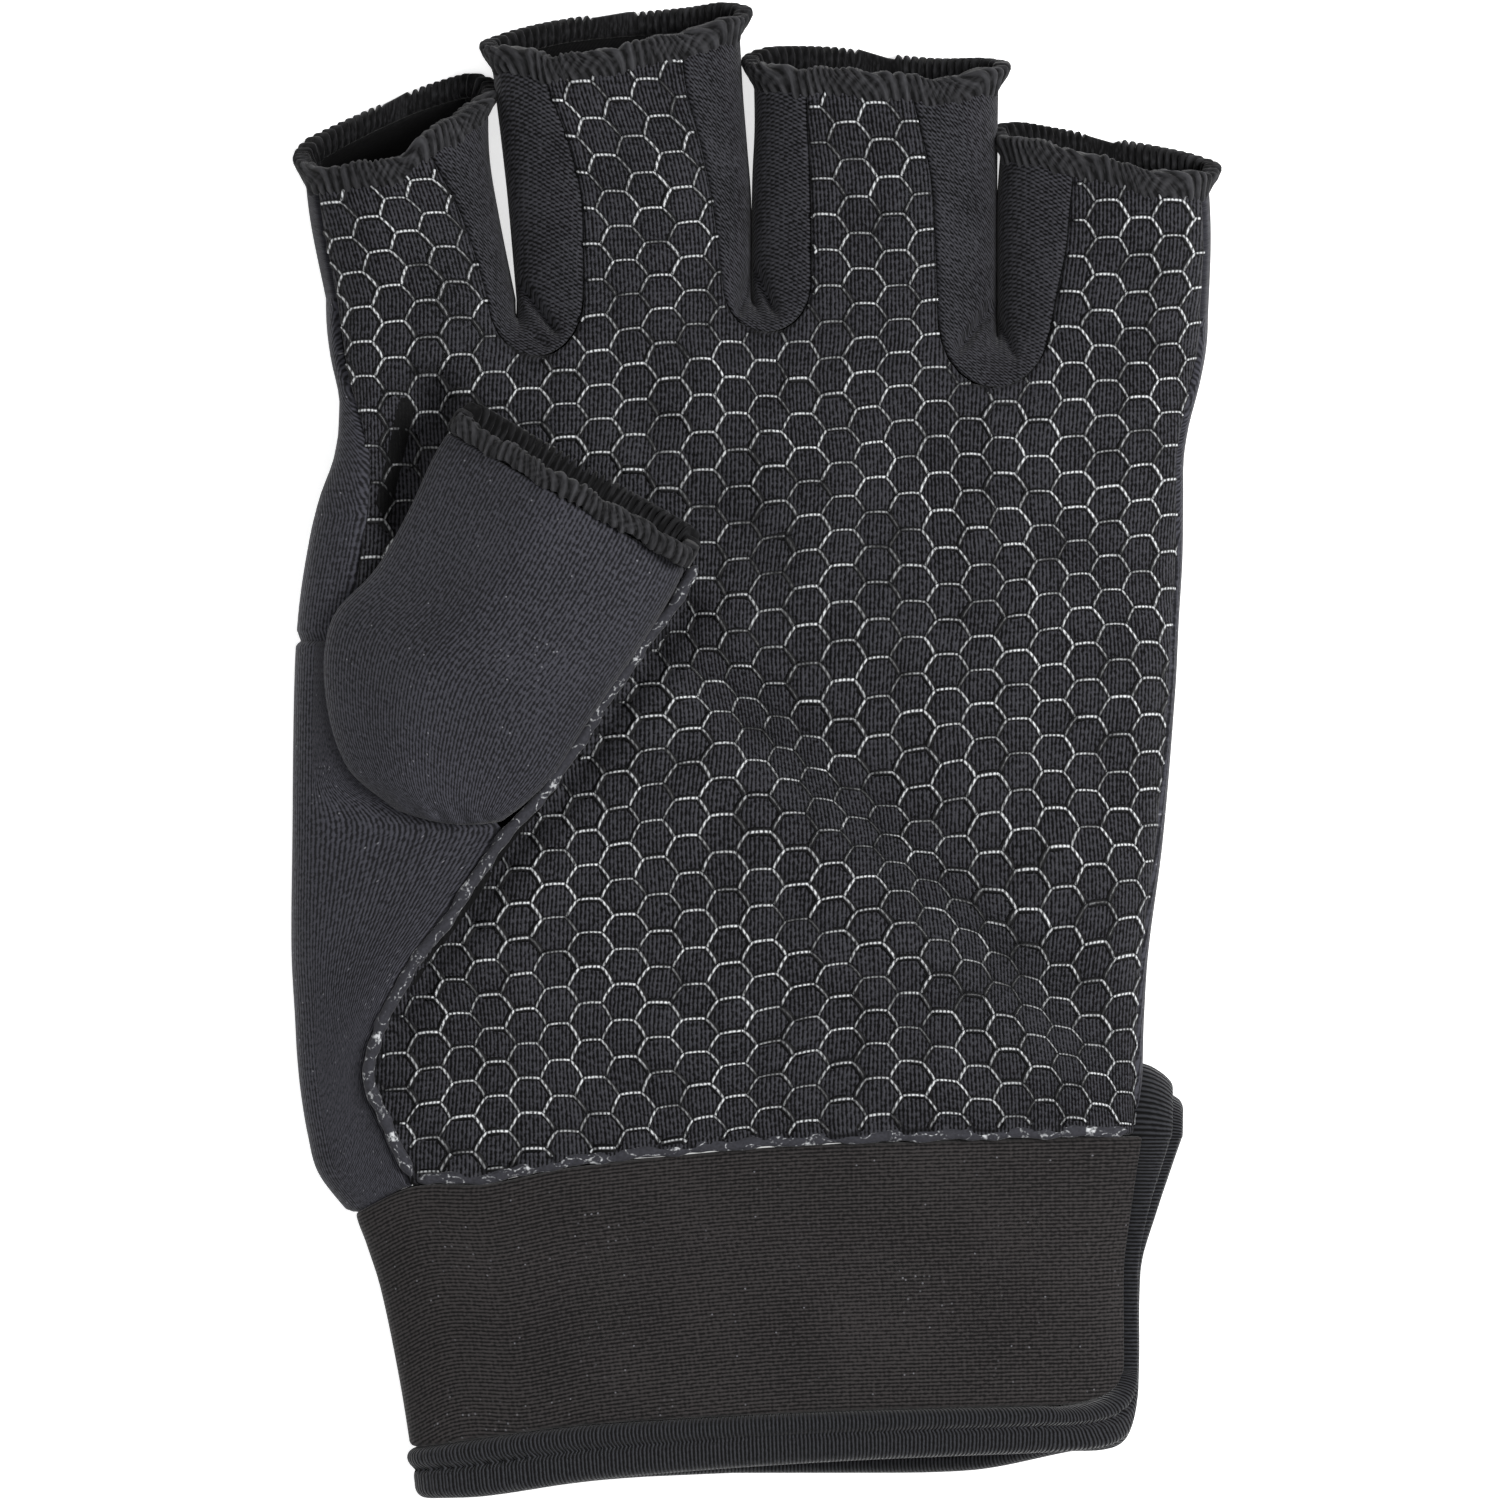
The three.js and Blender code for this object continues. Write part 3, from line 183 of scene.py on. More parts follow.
# The thumb from its mouth (0) to its rounded seam (1): share, left x, left y, right x, right y, dome.
THUMB = np.array([
    (0, -33.6, 35.4, -7.2, 20.2, 8.0),
    (0.15, -35.4, 32.4, -9.0, 16.6, 8.0),
    (0.3, -38.0, 26.7, -12.0, 11.8, 7.8),
    (0.45, -41.7, 20.2, -15.4, 6.9, 7.0),
    (0.6, -46.6, 14.6, -18.9, 1.7, 5.8),
    (0.75, -47.4, 6.7, -21.9, -2.9, 4.6),
    (0.9, -44.9, -1.9, -25.0, -6.0, 3.2),
    (1, -39.6, -6.6, -27.6, -8.0, 1.7),
])
THUMB_POWER = 2.4
THUMB_LIFT = 0.8
THUMB_UNDERSIDE_END = 18.3

# Soft folds of the palm: two ends, half width and depth. The first one is also in the solids.
FOLDS = [
    ((-8, 10), (41, -36), 4.5, 1.3),
    ((-17, 42), (3, 20), 3.2, 0.8),
    ((2, 4), (36, -20), 2.2, 0.35),
    ((-2, -12), (30, -40), 2.4, 0.3),
    ((-30, 62), (-33, 44), 2.6, 0.5),
    ((-35.5, 42.5), (-39.5, 24), 3.3, 5.0),
]

# The knit is stretched across the hand, and the print with it. A hexagon's sides lie at this share of its
# corners' distance from the middle.
PRINT_STRETCH = 1.1
HEX_SIDE_SHARE = 0.866

# The cuff: y, left, right, height, base. Then its hem's upper line and the ends of its two layers: x, y.
CUFF = np.array([
    (-40, -44.4, 43.9, 13.4, 0.2),
    (-51.6, -44.0, 43.8, 13.2, 2.1),
    (-55.2, -42.8, 43.7, 13.2, 2.1),
    (-59.9, -41.3, 43.6, 13.2, 2.1),
    (-68.9, -39.4, 43.6, 13, 2.1),
    (-77.4, -38.0, 43.2, 12.6, 2.1),
    (-84, -37.2, 42.6, 12.2, 2.1),
])
CUFF_HEM_TOP = np.array([(-38.0, -77.8), (-22.1, -75.6), (-11.3, -74.7), (13.2, -73.6), (38.0, -73.0)])
CUFF_HEM_PALM_END = np.array([
    (-37.2, -83.5), (-31.0, -83.2), (-16.7, -81.2), (9.0, -79.3), (37.0, -78.2),
])
CUFF_HEM_BACK_END = np.array([
    (-37.2, -83.5), (-31.0, -83.3), (-16.7, -81.6), (0.0, -80.8), (25.0, -80.6), (37.0, -78.4),
])

# The bound slit on the little-finger side, the tape's loop over it, and how far the tape bulges at each y.
SLIT_PALM = np.radians(19.5)
SLIT_BACK = np.radians(-26)
SLIT_CLEARANCE = np.radians(2.5)
SLIT_LIP = np.radians(1.6)
SLIT_TOP = -43.4
SLIT_CORNER = -69.5
CORNER_ANGLE = np.radians(45)
LOOP = {"inner_rise": 8.5, "outer_rise": 2.2, "inner_x": 44.0, "outer_x": 48.4, "depth": 0.6}
SLIT_BULGE = np.array([(-58.0, 0.0), (-56.0, 0.3), (-51.2, 1.7), (-47.0, 3.1), (-43.4, 4.4)])

TAPE_WIDTH = 5.5

TAB = {"left": 6.0, "right": 41.0, "low": -70.5, "high": -52.5, "corner": 5.0, "thickness": 1.7}

# Sharp creases of the side strips at the three crotches, as folds.
CREASES = [
    [((-26.2, 52.6), (-21.4, 46.2), 0.55, 1.5), ((-24.6, 46.4), (-22.4, 44.6), 0.5, 0.5)],
    [((0.2, 54.5), (2.9, 48.4), 0.5, 1.3), ((0.0, 53.6), (-1.4, 48.0), 0.5, 0.8)],
    [((27.2, 49.8), (23.0, 44.2), 0.55, 1.4), ((27.4, 49.2), (29.6, 43.4), 0.5, 0.9)],
]

# The stage, in metres and watts: a camera high above with a long lens, a floor that glows a little, a pale
# sky, and square soft lights that are turned to the glove: name, place, size, power.
CAMERA_DISTANCE = 2.5
PICTURE_WIDTH = 0.168
SENSOR_WIDTH = 36.0
FLOOR_REACH = 3.0
FLOOR_GLOW = 0.66
SKY_STRENGTH = 0.165
LIGHTS = (
    ("key_softbox", (0.95, 0.2, 1.15), 0.6, 27.0),
    ("fill_softbox", (-1.0, -0.3, 0.9), 1.0, 4.5),
    ("overhead_softbox", (-0.1, -0.3, 1.6), 0.9, 5.5),
)


def linear(hex_colour):
    """Turns an sRGB hex colour into linear RGB with full alpha."""
    value = np.array([int(hex_colour[n:n + 2], 16) for n in (1, 3, 5)]) / 255
    rgb = np.where(value <= 0.04045, value / 12.92, ((value + 0.055) / 1.055) ** 2.4)
    return (*[float(c) for c in rgb], 1.0)


# ---------------------------------------------------------------- curves and cross-sections


def lerp(a, b, share):
    return a + (b - a) * share


def smoothstep(value, low, high):
    """Rises from 0 at low to 1 at high, level at both ends."""
    t = np.clip((value - low) / (high - low), 0, 1)
    return t * t * (3 - 2 * t)


def bell(value, width):
    """A Gaussian: 1 at 0, and 1/e at the width."""
    return np.exp(-((value / width) ** 2))


def spot(x, y, place, reach):
    """A Gaussian in plan: 1 at the place, and 1/e at the reach in x or in y."""
    return np.exp(-(((x - place[0]) / reach[0]) ** 2) - ((y - place[1]) / reach[1]) ** 2)


def signed_power(value, power):
    return np.sign(value) * np.abs(value) ** power


def stacked(*parts):
    """Coordinates that broadcast together, as one array of places."""
    return np.stack(np.broadcast_arrays(*parts), axis=-1)


def running(steps):
    """The distance after each step along the last axis, with 0 in front."""
    return np.concatenate([np.zeros((*steps.shape[:-1], 1)), np.cumsum(steps, axis=-1)], axis=-1)


def chance(number, seed):
    """A fixed, scattered value between 0 and 1: what a large sine has beyond its whole part."""
    wild = np.sin(number * 12.9898 + seed * 78.233) * 43758.5453
    return wild - np.floor(wild)


def curve(table, column, at, along=0):
    """A smooth curve through a table: each span is a cubic whose end slopes are its neighbours' chords."""
    rows = table[np.argsort(table[:, along])]
    xs, ys = rows[:, along], rows[:, column]
    n = np.arange(len(xs))
    after, before = np.minimum(n + 1, n[-1]), np.maximum(n - 1, 0)
    slopes = (ys[after] - ys[before]) / (xs[after] - xs[before])
    at = np.clip(at, xs[0], xs[-1])
    n = np.clip(np.searchsorted(xs, at, side="right") - 1, 0, len(xs) - 2)
    span = xs[n + 1] - xs[n]
    t = (at - xs[n]) / span
    return (
        ys[n] * (1 + 2 * t) * (1 - t) ** 2
        + slopes[n] * span * t * (1 - t) ** 2
        + ys[n + 1] * t * t * (3 - 2 * t)
        + slopes[n + 1] * span * t * t * (t - 1)
    )


def eased(count, ease=1.0):
    """Shares from 0 to 1 that crowd towards both ends, by the share of a cosine in them."""
    t = np.linspace(0, 1, count + 1)
    return lerp(t, (1 - np.cos(PI * t)) / 2, ease)


def angle_at(share, power=TOP_POWER):
    """The angle on half a section where it reaches a share of its half width."""
    return np.arccos(np.clip(signed_power(share, power / 2), -1, 1))


def unit_section(angle):
    """Superellipse: across is cos to the power 2/p, up is sin to the power 2/p, p larger below than above."""
    over = np.sin(angle) >= 0
    power = np.where(over, TOP_POWER, UNDER_POWER)
    return over, signed_power(np.cos(angle), 2 / power), np.abs(np.sin(angle)) ** (2 / power)


def ring_point(ring, angle, depth=0.0):
    """The x and z of a section at an angle, and at a depth inside its surface."""
    left, right, height, base = ring
    over, across, up = unit_section(angle)
    belly = BELLY * height
    outer = np.where(over, belly + (height - belly) * up, np.maximum(0, belly * (1 - UNDER_REACH * up)))
    z = base + outer + np.where(over, -depth, depth) * up
    return (left + right) / 2 + ((right - left) / 2 - depth) * across, z


def angle_along(ring, start, end, share, margin):
    """The angle at a share of the way round a section by length, with a margin in mm at both ends."""
    shape = np.broadcast_shapes(*[np.shape(v) for v in (*ring, start, end, share)])
    ring = [np.broadcast_to(v, shape)[..., None] for v in ring]
    start, end = (np.broadcast_to(v, shape)[..., None] for v in (start, end))
    steps = 90
    angles = start + (end - start) * np.linspace(0, 1, steps + 1)
    x, z = ring_point(ring, angles)
    lengths = running(np.hypot(np.diff(x), np.diff(z)))
    target = (margin + (lengths[..., -1] - 2 * margin) * share)[..., None]
    n = np.clip(np.sum(lengths <= target, axis=-1, keepdims=True) - 1, 0, steps - 1)
    low, high = np.take_along_axis(lengths, n, -1), np.take_along_axis(lengths, n + 1, -1)
    part = (target - low) / np.maximum(high - low, 1e-9)
    return (start + (end - start) * (n + part) / steps)[..., 0]


def share_of(ring, x):
    return np.clip((2 * x - ring[0] - ring[1]) / (ring[1] - ring[0]), -1, 1)


def hand_ring(y):
    return [*(curve(HAND, column, y) for column in (1, 2, 3)), 0.0]


def finger_ring(n, y):
    height = lerp(*FINGER_HEIGHTS, np.clip((y - FINGER_ROOT) / FINGER_RUN, 0, 1))
    return [curve(STATIONS[n], 1, y), curve(STATIONS[n], 4, y), height, 0.0]


def cuff_ring(y):
    return [curve(CUFF, column, y) for column in (1, 2, 3, 4)]


def finger_at(x):
    return np.sum([x > contact for contact in CROTCH[:, 0]], axis=0)


def beside_fold(x, y, fold):
    """The share of the way along a fold, the distance off it in mm, and the fold's own run and length."""
    (ax, ay), (bx, by), _, _ = fold
    run = bx - ax, by - ay
    length = np.hypot(*run)
    along = ((x - ax) * run[0] + (y - ay) * run[1]) / length ** 2
    return along, ((x - ax) * run[1] - (y - ay) * run[0]) / length, run, length


def fold_depth(x, y, folds):
    """Each fold is a trough along a line: a Gaussian across it that fades in and out at its two ends."""
    total = 0.0
    for fold in folds:
        along, off, _, _ = beside_fold(x, y, fold)
        _, _, half_width, depth = fold
        ends = smoothstep(along, -0.1, 0.2) * (1 - smoothstep(along, 0.8, 1.1))
        total = total + depth * ends * bell(off, half_width)
    return total


def upper_point(x, y, depth=0.0, folds=FOLDS):
    """The glove's upper surface: finger domes that fade into the dome of the hand below the crotches."""
    finger = finger_at(x)
    rings = [finger_ring(n, y) for n in range(4)]
    ring = [np.choose(finger, [r[k] for r in rings]) for k in range(3)] + [0.0]
    hand = hand_ring(y)
    finger_share = np.clip(
        share_of(ring, x),
        np.where(finger == 0, -1, -FINGER_SIDE_SHARE),
        np.where(finger == 3, 1, FINGER_SIDE_SHARE),
    )
    hand_share = share_of(hand, x)
    on_finger = ring_point(ring, angle_at(finger_share), depth)[1]
    on_hand = ring_point(hand, angle_at(hand_share), depth)[1]
    into_hand = smoothstep(curve(CROTCH, 1, x) - y, 0, CROTCH_FADE)
    z = lerp(on_finger, on_hand - fold_depth(x, y, folds), into_hand)
    return stacked(x - depth * lerp(finger_share, hand_share, into_hand), y, z)


def mouth_edge(n, x, angle):
    palm = curve(PALM_MOUTH[n], 1, x)
    back = curve(BACK_MOUTH[n], 1, x)
    return lerp(back, palm, smoothstep(np.sin(angle), -1, 0.6)) - HEM_LENGTH


def mouth_point(n, angle_of, shape):
    """The y of the cloth's edge at a mouth, found in a few passes because the section changes with y."""
    y = np.full(shape, STATIONS[n][0, 0])
    for _ in range(5):
        angle = angle_of(y)
        y = mouth_edge(n, ring_point(finger_ring(n, y), angle)[0], angle)
    return y


# ---------------------------------------------------------------- meshes


def wall_quads(present, loop):
    """The quads of a wall over the present cells: outer face, inner face, and a rim at each open side."""
    columns, rows = present.shape
    lines = columns if loop else columns + 1
    i, j = np.nonzero(present)

    def quads_at(k, m, corners):
        return stacked(*((layer * lines + (k + a) % lines) * (rows + 1) + m + b for a, b, layer in corners))

    square = [(0, 0), (1, 0), (1, 1), (0, 1)]
    quads = [
        quads_at(i, j, [(*corner, 0) for corner in square]),
        quads_at(i, j, [(*corner, 1) for corner in square[::-1]]),
    ]
    padded = np.pad(present, 1)
    if loop:
        padded[0, 1:-1], padded[-1, 1:-1] = present[-1], present[0]
    rim = []
    for (di, dj), start, end in [
        ((0, -1), (0, 0), (1, 0)),
        ((0, 1), (1, 1), (0, 1)),
        ((-1, 0), (0, 1), (0, 0)),
        ((1, 0), (1, 0), (1, 1)),
    ]:
        open_side = ~padded[i + 1 + di, j + 1 + dj]
        corners = [(*start, 0), (*start, 1), (*end, 1), (*end, 0)]
        rim.append(quads_at(i[open_side], j[open_side], corners))
    return quads, rim


def band_quads(around, section, closed=True):
    """The quads of a tube: a closed section, carried round to its start or from one end to the other."""
    lengths = np.arange(around if closed else around - 1)
    i, j = (a.ravel() for a in np.meshgrid(lengths, np.arange(section), indexing="ij"))
    following, beside = (i + 1) % around, (j + 1) % section
    return stacked(
        i * section + j, following * section + j, following * section + beside, i * section + beside)


def edge_distance(points, rim, reach, chunk=1500):
    """Each grid point's distance in mm to the nearest cut edge, where it is closer than the reach. The
    points are taken in chunks, to keep the arrays small."""
    flat = points.reshape(-1, 3)
    edges = np.concatenate(rim)[:, [0, 3]]
    distance = np.full(len(flat), reach)
    if not len(edges):
        return distance.reshape(points.shape[:2])
    a, b = flat[edges[:, 0]], flat[edges[:, 1]]
    along = b - a
    length = np.maximum(np.sum(along ** 2, axis=1), 1e-9)
    for start in range(0, len(flat), chunk):
        p = flat[start:start + chunk, None]
        t = np.clip(np.sum((p - a) * along, axis=2) / length, 0, 1)
        gap = np.linalg.norm(p - a - t[..., None] * along, axis=2).min(axis=1)
        distance[start:start + chunk] = np.minimum(gap, reach)
    return distance.reshape(points.shape[:2])


def facing_out(points, quads):
    """Turns the quads round where the closed shell's signed volume is negative."""
    a, b, c, d = (points[quads[:, k]] for k in range(4))
    volume = np.sum(a * np.cross(b, c)) + np.sum(a * np.cross(c, d))
    return quads[:, ::-1] if volume < 0 else quads


def put_piece(name, points, quads, cloth, key, replaces=(), extra=None):
    """Puts vertices in mm, quads, the cloth map and one more map into a mesh that rides on the root body."""
    material = finish(key)
    used, back = np.unique(quads, return_inverse=True)
    points, maps = points.reshape(-1, 3)[used], {"cloth": cloth.reshape(-1, 2)[used]}
    if extra is not None:
        maps["detail"] = extra.reshape(-1, 2)[used]
    quads = facing_out(points, back.reshape(-1, 4))
    mesh = bpy.data.meshes.new(name)
    mesh.vertices.add(len(points))
    mesh.vertices.foreach_set("co", (points * MM).astype(np.float32).ravel())
    mesh.loops.add(quads.size)
    mesh.loops.foreach_set("vertex_index", quads.astype(np.int32).ravel())
    mesh.polygons.add(len(quads))
    mesh.polygons.foreach_set("loop_start", np.arange(0, quads.size, 4, dtype=np.int32))
    mesh.polygons.foreach_set("use_smooth", np.ones(len(quads), dtype=bool))
    mesh.update(calc_edges=True)
    for map_name, values in maps.items():
        corners = values[quads.ravel()].astype(np.float32)
        mesh.uv_layers.new(name=map_name).data.foreach_set("uv", corners.ravel())
    mesh.materials.append(material)
    piece = bpy.data.objects.new(name, mesh)
    bpy.context.scene.collection.objects.link(piece)
    if mesh.validate():
        raise RuntimeError(f"{name} has faces that are not valid")
    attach(piece, "root")
    if replaces:
        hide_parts(*replaces)


def cloth_wall(node, point, thickness, key, cloth=None, present=None, loop=False, suffix="cloth",
               round_by=0.46):
    """A wall of cloth in place of a solid. point(depth) gives the grid of places at a depth in mm; near a cut
    edge both faces bend to the middle of the wall on a quarter circle. The detail map is 0 outside and 1
    inside, and the knits paint shade on the inside with it."""
    flat = point(0.0)
    if cloth is None:
        cloth = grid_map(flat)
    columns = flat.shape[0] if loop else flat.shape[0] - 1
    if present is None:
        present = np.ones((columns, flat.shape[1] - 1), dtype=bool)
    quads, rim = wall_quads(present, loop)
    radius = round_by * thickness
    distance = edge_distance(flat, rim, radius)
    bend = radius - np.sqrt(np.maximum(radius ** 2 - (radius - distance) ** 2, 0))
    outer, inner = point(bend), point(thickness - bend)
    points = np.concatenate([outer.reshape(-1, 3), inner.reshape(-1, 3)])
    both = np.concatenate([cloth.reshape(-1, 2)] * 2)
    inside = np.repeat([(0.0, 0.0), (1.0, 0.0)], len(both) // 2, axis=0)
    put_piece(f"{node}_{suffix}", points, np.concatenate(quads + rim), both, key, (node,), inside)


def lengths_along(points):
    """Distance in mm from the first grid line to each point, measured along the columns' direction."""
    return running(np.linalg.norm(np.diff(points, axis=0), axis=-1).T).T


def grid_map(points):
    """A cloth map from a grid: mm along its first direction at mid width, and mm along its second."""
    across = lengths_along(points)
    down = lengths_along(np.swapaxes(points, 0, 1)).T
    middle = across.shape[1] // 2
    return stacked(across[:, middle:middle + 1], down)


# ---------------------------------------------------------------- materials


def add(tree, kind, sockets=None, **settings):
    """Adds one node, sets its properties, and fills its sockets with values or links."""
    node = tree.nodes.new("ShaderNode" + kind)
    for key, value in settings.items():
        setattr(node, key, value)
    for key, value in (sockets or {}).items():
        if isinstance(value, bpy.types.NodeSocket):
            tree.links.new(value, node.inputs[key])
        else:
            node.inputs[key].default_value = value
    return node


def maths(tree, operation, *values):
    return add(tree, "Math", dict(enumerate(values)), operation=operation).outputs[0]


def vector_maths(tree, operation, *values):
    return add(tree, "VectorMath", dict(enumerate(values)), operation=operation).outputs


def ramp(tree, value, low, high, to_low=0.0, to_high=1.0, **settings):
    """Maps low to to_low and high to to_high, and holds the value there beyond them."""
    return add(tree, "MapRange", {
        "Value": value, "From Min": low, "From Max": high, "To Min": to_low, "To Max": to_high,
    }, **settings).outputs[0]


def mixed(tree, share, first, second):
    return add(tree, "Mix", {0: share, 6: first, 7: second}, data_type="RGBA").outputs[2]


def noise(tree, place, scale, detail):
    return add(tree, "TexNoise", {"Vector": place, "Scale": scale, "Detail": detail}).outputs["Fac"]


def bands(tree, place, period, way="X", distortion=1.2, detail=2.0, detail_scale=1.5):
    """Soft bands that repeat after a period in mm."""
    return add(tree, "TexWave", {
        "Vector": place, "Scale": 2 * PI / (20 * period), "Distortion": distortion, "Detail": detail,
        "Detail Scale": detail_scale,
    }, bands_direction=way).outputs["Fac"]


def detail_map(tree):
    """The two values of the piece's second map."""
    return add(tree, "SeparateXYZ", {0: add(tree, "UVMap", uv_map="detail").outputs["UV"]}).outputs


def start_material(name):
    """A material with the cloth map, and no other nodes yet."""
    material = bpy.data.materials.new(name)
    material.use_nodes = True
    tree = material.node_tree
    tree.nodes.clear()
    return material, tree, add(tree, "UVMap", uv_map="cloth").outputs["UV"]


def finish_material(material, tree, colour, roughness, height, bump, sheen=0.0, specular=0.3, glow=0.0):
    """Ends a material in a principled shader with a bump in mm."""
    normal = add(tree, "Bump", {"Height": height, "Distance": bump * MM, "Strength": 1.0}).outputs["Normal"]
    shader = add(tree, "BsdfPrincipled", {
        "Base Color": colour, "Roughness": roughness, "Normal": normal,
        "Sheen Weight": sheen, "Sheen Roughness": 0.45, "Specular IOR Level": specular, "IOR": 1.45,
        "Emission Color": (1, 1, 1, 1), "Emission Strength": glow,
    })
    add(tree, "OutputMaterial", {"Surface": shader.outputs[0]})
    return material


def lint(tree, cloth, spacing, size):
    """Stray lint: small dots round the points of a Voronoi net, kept for about one cell in four."""
    dots = add(tree, "TexVoronoi", {"Vector": cloth, "Scale": 1 / spacing}, voronoi_dimensions="2D").outputs
    near = ramp(tree, dots["Distance"], size / spacing, 0.4 * size / spacing)
    return maths(tree, "MULTIPLY", near, ramp(tree, dots["Color"], 0.7, 0.78))


def hexagon_reach(tree, cloth, pitch, tilt):
    """How far a place is from the middle of its printed cell: 0 there, 1 on the cell's border. The middles
    of the cells are two nested grids, three sides wide and one pitch high."""
    flat = add(tree, "VectorRotate", {"Vector": cloth, "Angle": -tilt}, rotation_type="Z_AXIS").outputs[0]
    flat = vector_maths(tree, "MULTIPLY", flat, (1 / PRINT_STRETCH, 1.0, 1.0))[0]
    half = (1.5 * (pitch / np.sqrt(3)), pitch / 2, 0.5)
    near, lengths = [], []
    for shift in (0.0, 1.0):
        moved = vector_maths(tree, "ADD", flat, (shift * half[0], shift * half[1], 0.0))[0]
        near.append(vector_maths(tree, "WRAP", moved, half, (-half[0], -half[1], -0.5))[0])
        lengths.append(vector_maths(tree, "LENGTH", near[-1])["Value"])
    second = maths(tree, "LESS_THAN", lengths[1], lengths[0])
    nearest = add(tree, "Mix", {0: second, 4: near[0], 5: near[1]}, data_type="VECTOR").outputs[1]
    nearest = vector_maths(tree, "ABSOLUTE", nearest)[0]
    slanted, level = (
        vector_maths(tree, "DOT_PRODUCT", nearest, way)["Value"]
        for way in ((HEX_SIDE_SHARE * 2 / pitch, 1 / pitch, 0.0), (0.0, 2 / pitch, 0.0)))
    return maths(tree, "MAXIMUM", slanted, level)


def knit_fabric(name, dark, light, rib, row, row_share, bump, sheen, slanted=False, lint_amount=0.0,
                mottle=6.0, grain_share=2.4, cells=None):
    """Weft-knit polyester and elastane: ribs of small loops, rib and row in mm, drawn no finer than the
    picture can show, over uneven fibre. It gives a soft matt face with a fine grain, and painted shade
    makes its inner face near black. With cells, the print draws the knit into low round cushions, and
    painted shade darkens their borders."""
    material, tree, cloth = start_material(name)
    ribs = bands(tree, cloth, rib / 2 if slanted else rib, "DIAGONAL" if slanted else "X")
    rows = bands(tree, cloth, row, "Y")
    grain, patches = noise(tree, cloth, 2.2, 3.0), noise(tree, cloth, 1 / mottle, 2.0)
    weave = add(tree, "Mix", {0: row_share, 2: ribs, 3: rows}).outputs[0]
    height = maths(tree, "MULTIPLY_ADD", grain, grain_share, weave)
    tone = maths(tree, "MULTIPLY_ADD", patches, 0.5, height)
    middle = 1.575 + (grain_share - 1.6) / 2
    shade = ramp(tree, tone, middle - 0.36, middle + 0.36)
    if cells:
        reach = hexagon_reach(tree, cloth, *cells)
        dome = ramp(tree, reach, 1.0, 0.4, interpolation_type="SMOOTHSTEP")
        height = maths(tree, "MULTIPLY_ADD", dome, 5.0, height)
        # Painted shade: the knit darkens towards each cell's border, in the valley beside the printed line.
        shade = maths(tree, "MULTIPLY", shade, ramp(tree, reach, 0.97, 0.78, 0.25))
    colour = mixed(tree, shade, dark, light)
    if lint_amount:
        thick = ramp(tree, noise(tree, cloth, 0.09, 1.0), 0.56, 0.68)
        cluster = maths(tree, "MULTIPLY", lint(tree, cloth, 0.8, 0.15), thick)
        specks = maths(tree, "MAXIMUM", lint(tree, cloth, 2.6, 0.13), cluster)
        colour = mixed(tree, maths(tree, "MULTIPLY", specks, lint_amount), colour, linear("#9a9aa0"))
    # Painted shade: the cloth's inner face is mixed to near black, for the shade inside the glove.
    colour = mixed(tree, detail_map(tree)["X"], colour, linear("#0a0a0b"))
    roughness = ramp(tree, shade, 0.0, 1.0, 0.92, 0.72)
    return finish_material(material, tree, colour, roughness, height, bump, sheen, specular=0.18)


def silicone_print(name, dark, light, rib):
    """Screen-printed silicone, sunk into the knit and glossy where it stands up. Each hexagon's thin line
    carries a painted glint in beads on the knit's ribs, strong in some places and missing in others."""
    material, tree, cloth = start_material(name)
    detail = detail_map(tree)
    core = ramp(tree, maths(tree, "ABSOLUTE", detail["Y"]), 0.36, 0.1)
    beads = noise(tree, cloth, 2.6, 2.0)
    wanted = maths(tree, "MULTIPLY_ADD", detail["X"], 0.42, noise(tree, cloth, 0.16, 6.0))
    beaded = maths(tree, "MULTIPLY_ADD", bands(tree, cloth, rib), 0.5, beads)
    glint = maths(tree, "MULTIPLY", core, ramp(tree, wanted, 0.56, 0.9, 0.06))
    glint = maths(tree, "MULTIPLY", glint, ramp(tree, beaded, 0.5, 0.92, 0.06))
    # Painted glint: the light colour is mixed in where the glint mask is high.
    colour, roughness = mixed(tree, glint, dark, light), ramp(tree, core, 0.0, 1.0, 0.75, 0.35)
    return finish_material(material, tree, colour, roughness, beads, bump=0.06, specular=0.3)


def turned_fabric(name, dark, light, print_light):
    """The grip knit turned over at the panel's edge: matt cloth with smears of silicone left on the fold,
    coloured with the print's painted glint.
    """
    material, tree, cloth = start_material(name)
    spots = noise(tree, cloth, 2.4, 2.0)
    both = maths(tree, "MULTIPLY_ADD", spots, 0.45, noise(tree, cloth, 0.42, 4.0))
    off = maths(tree, "ABSOLUTE", maths(tree, "SUBTRACT", noise(tree, cloth, 0.36, 1.0), 0.5))
    outline = maths(tree, "MULTIPLY", ramp(tree, off, 0.024, 0.006), ramp(tree, spots, 0.46, 0.7, 0.0, 0.8))
    printed = maths(tree, "MAXIMUM", ramp(tree, both, 0.83, 0.95, 0.0, 0.75), outline)
    # The smears take the print's light colour, which is a painted glint; the smears themselves are real
    # silicone.
    colour = mixed(tree, printed, mixed(tree, spots, dark, light), print_light)
    roughness = ramp(tree, printed, 0.0, 1.0, 0.85, 0.35)
    return finish_material(material, tree, colour, roughness, both, bump=0.12, sheen=0.1, specular=0.3)


def ribbed_tape(name, dark, light, rib, bump):
    """Woven binding tape: ribs across its length at their real spacing, with a matt thread sheen."""
    material, tree, cloth = start_material(name)
    ribs = bands(tree, cloth, rib, distortion=0.5, detail=1.0, detail_scale=1.0)
    height = maths(tree, "MULTIPLY_ADD", noise(tree, cloth, 2.5, 3.0), 1.1, ribs)
    shade = ramp(tree, height, 0.75, 1.5)
    colour, roughness = mixed(tree, shade, dark, light), ramp(tree, shade, 0.0, 1.0, 0.9, 0.7)
    return finish_material(material, tree, colour, roughness, height, bump, sheen=0.15, specular=0.2)


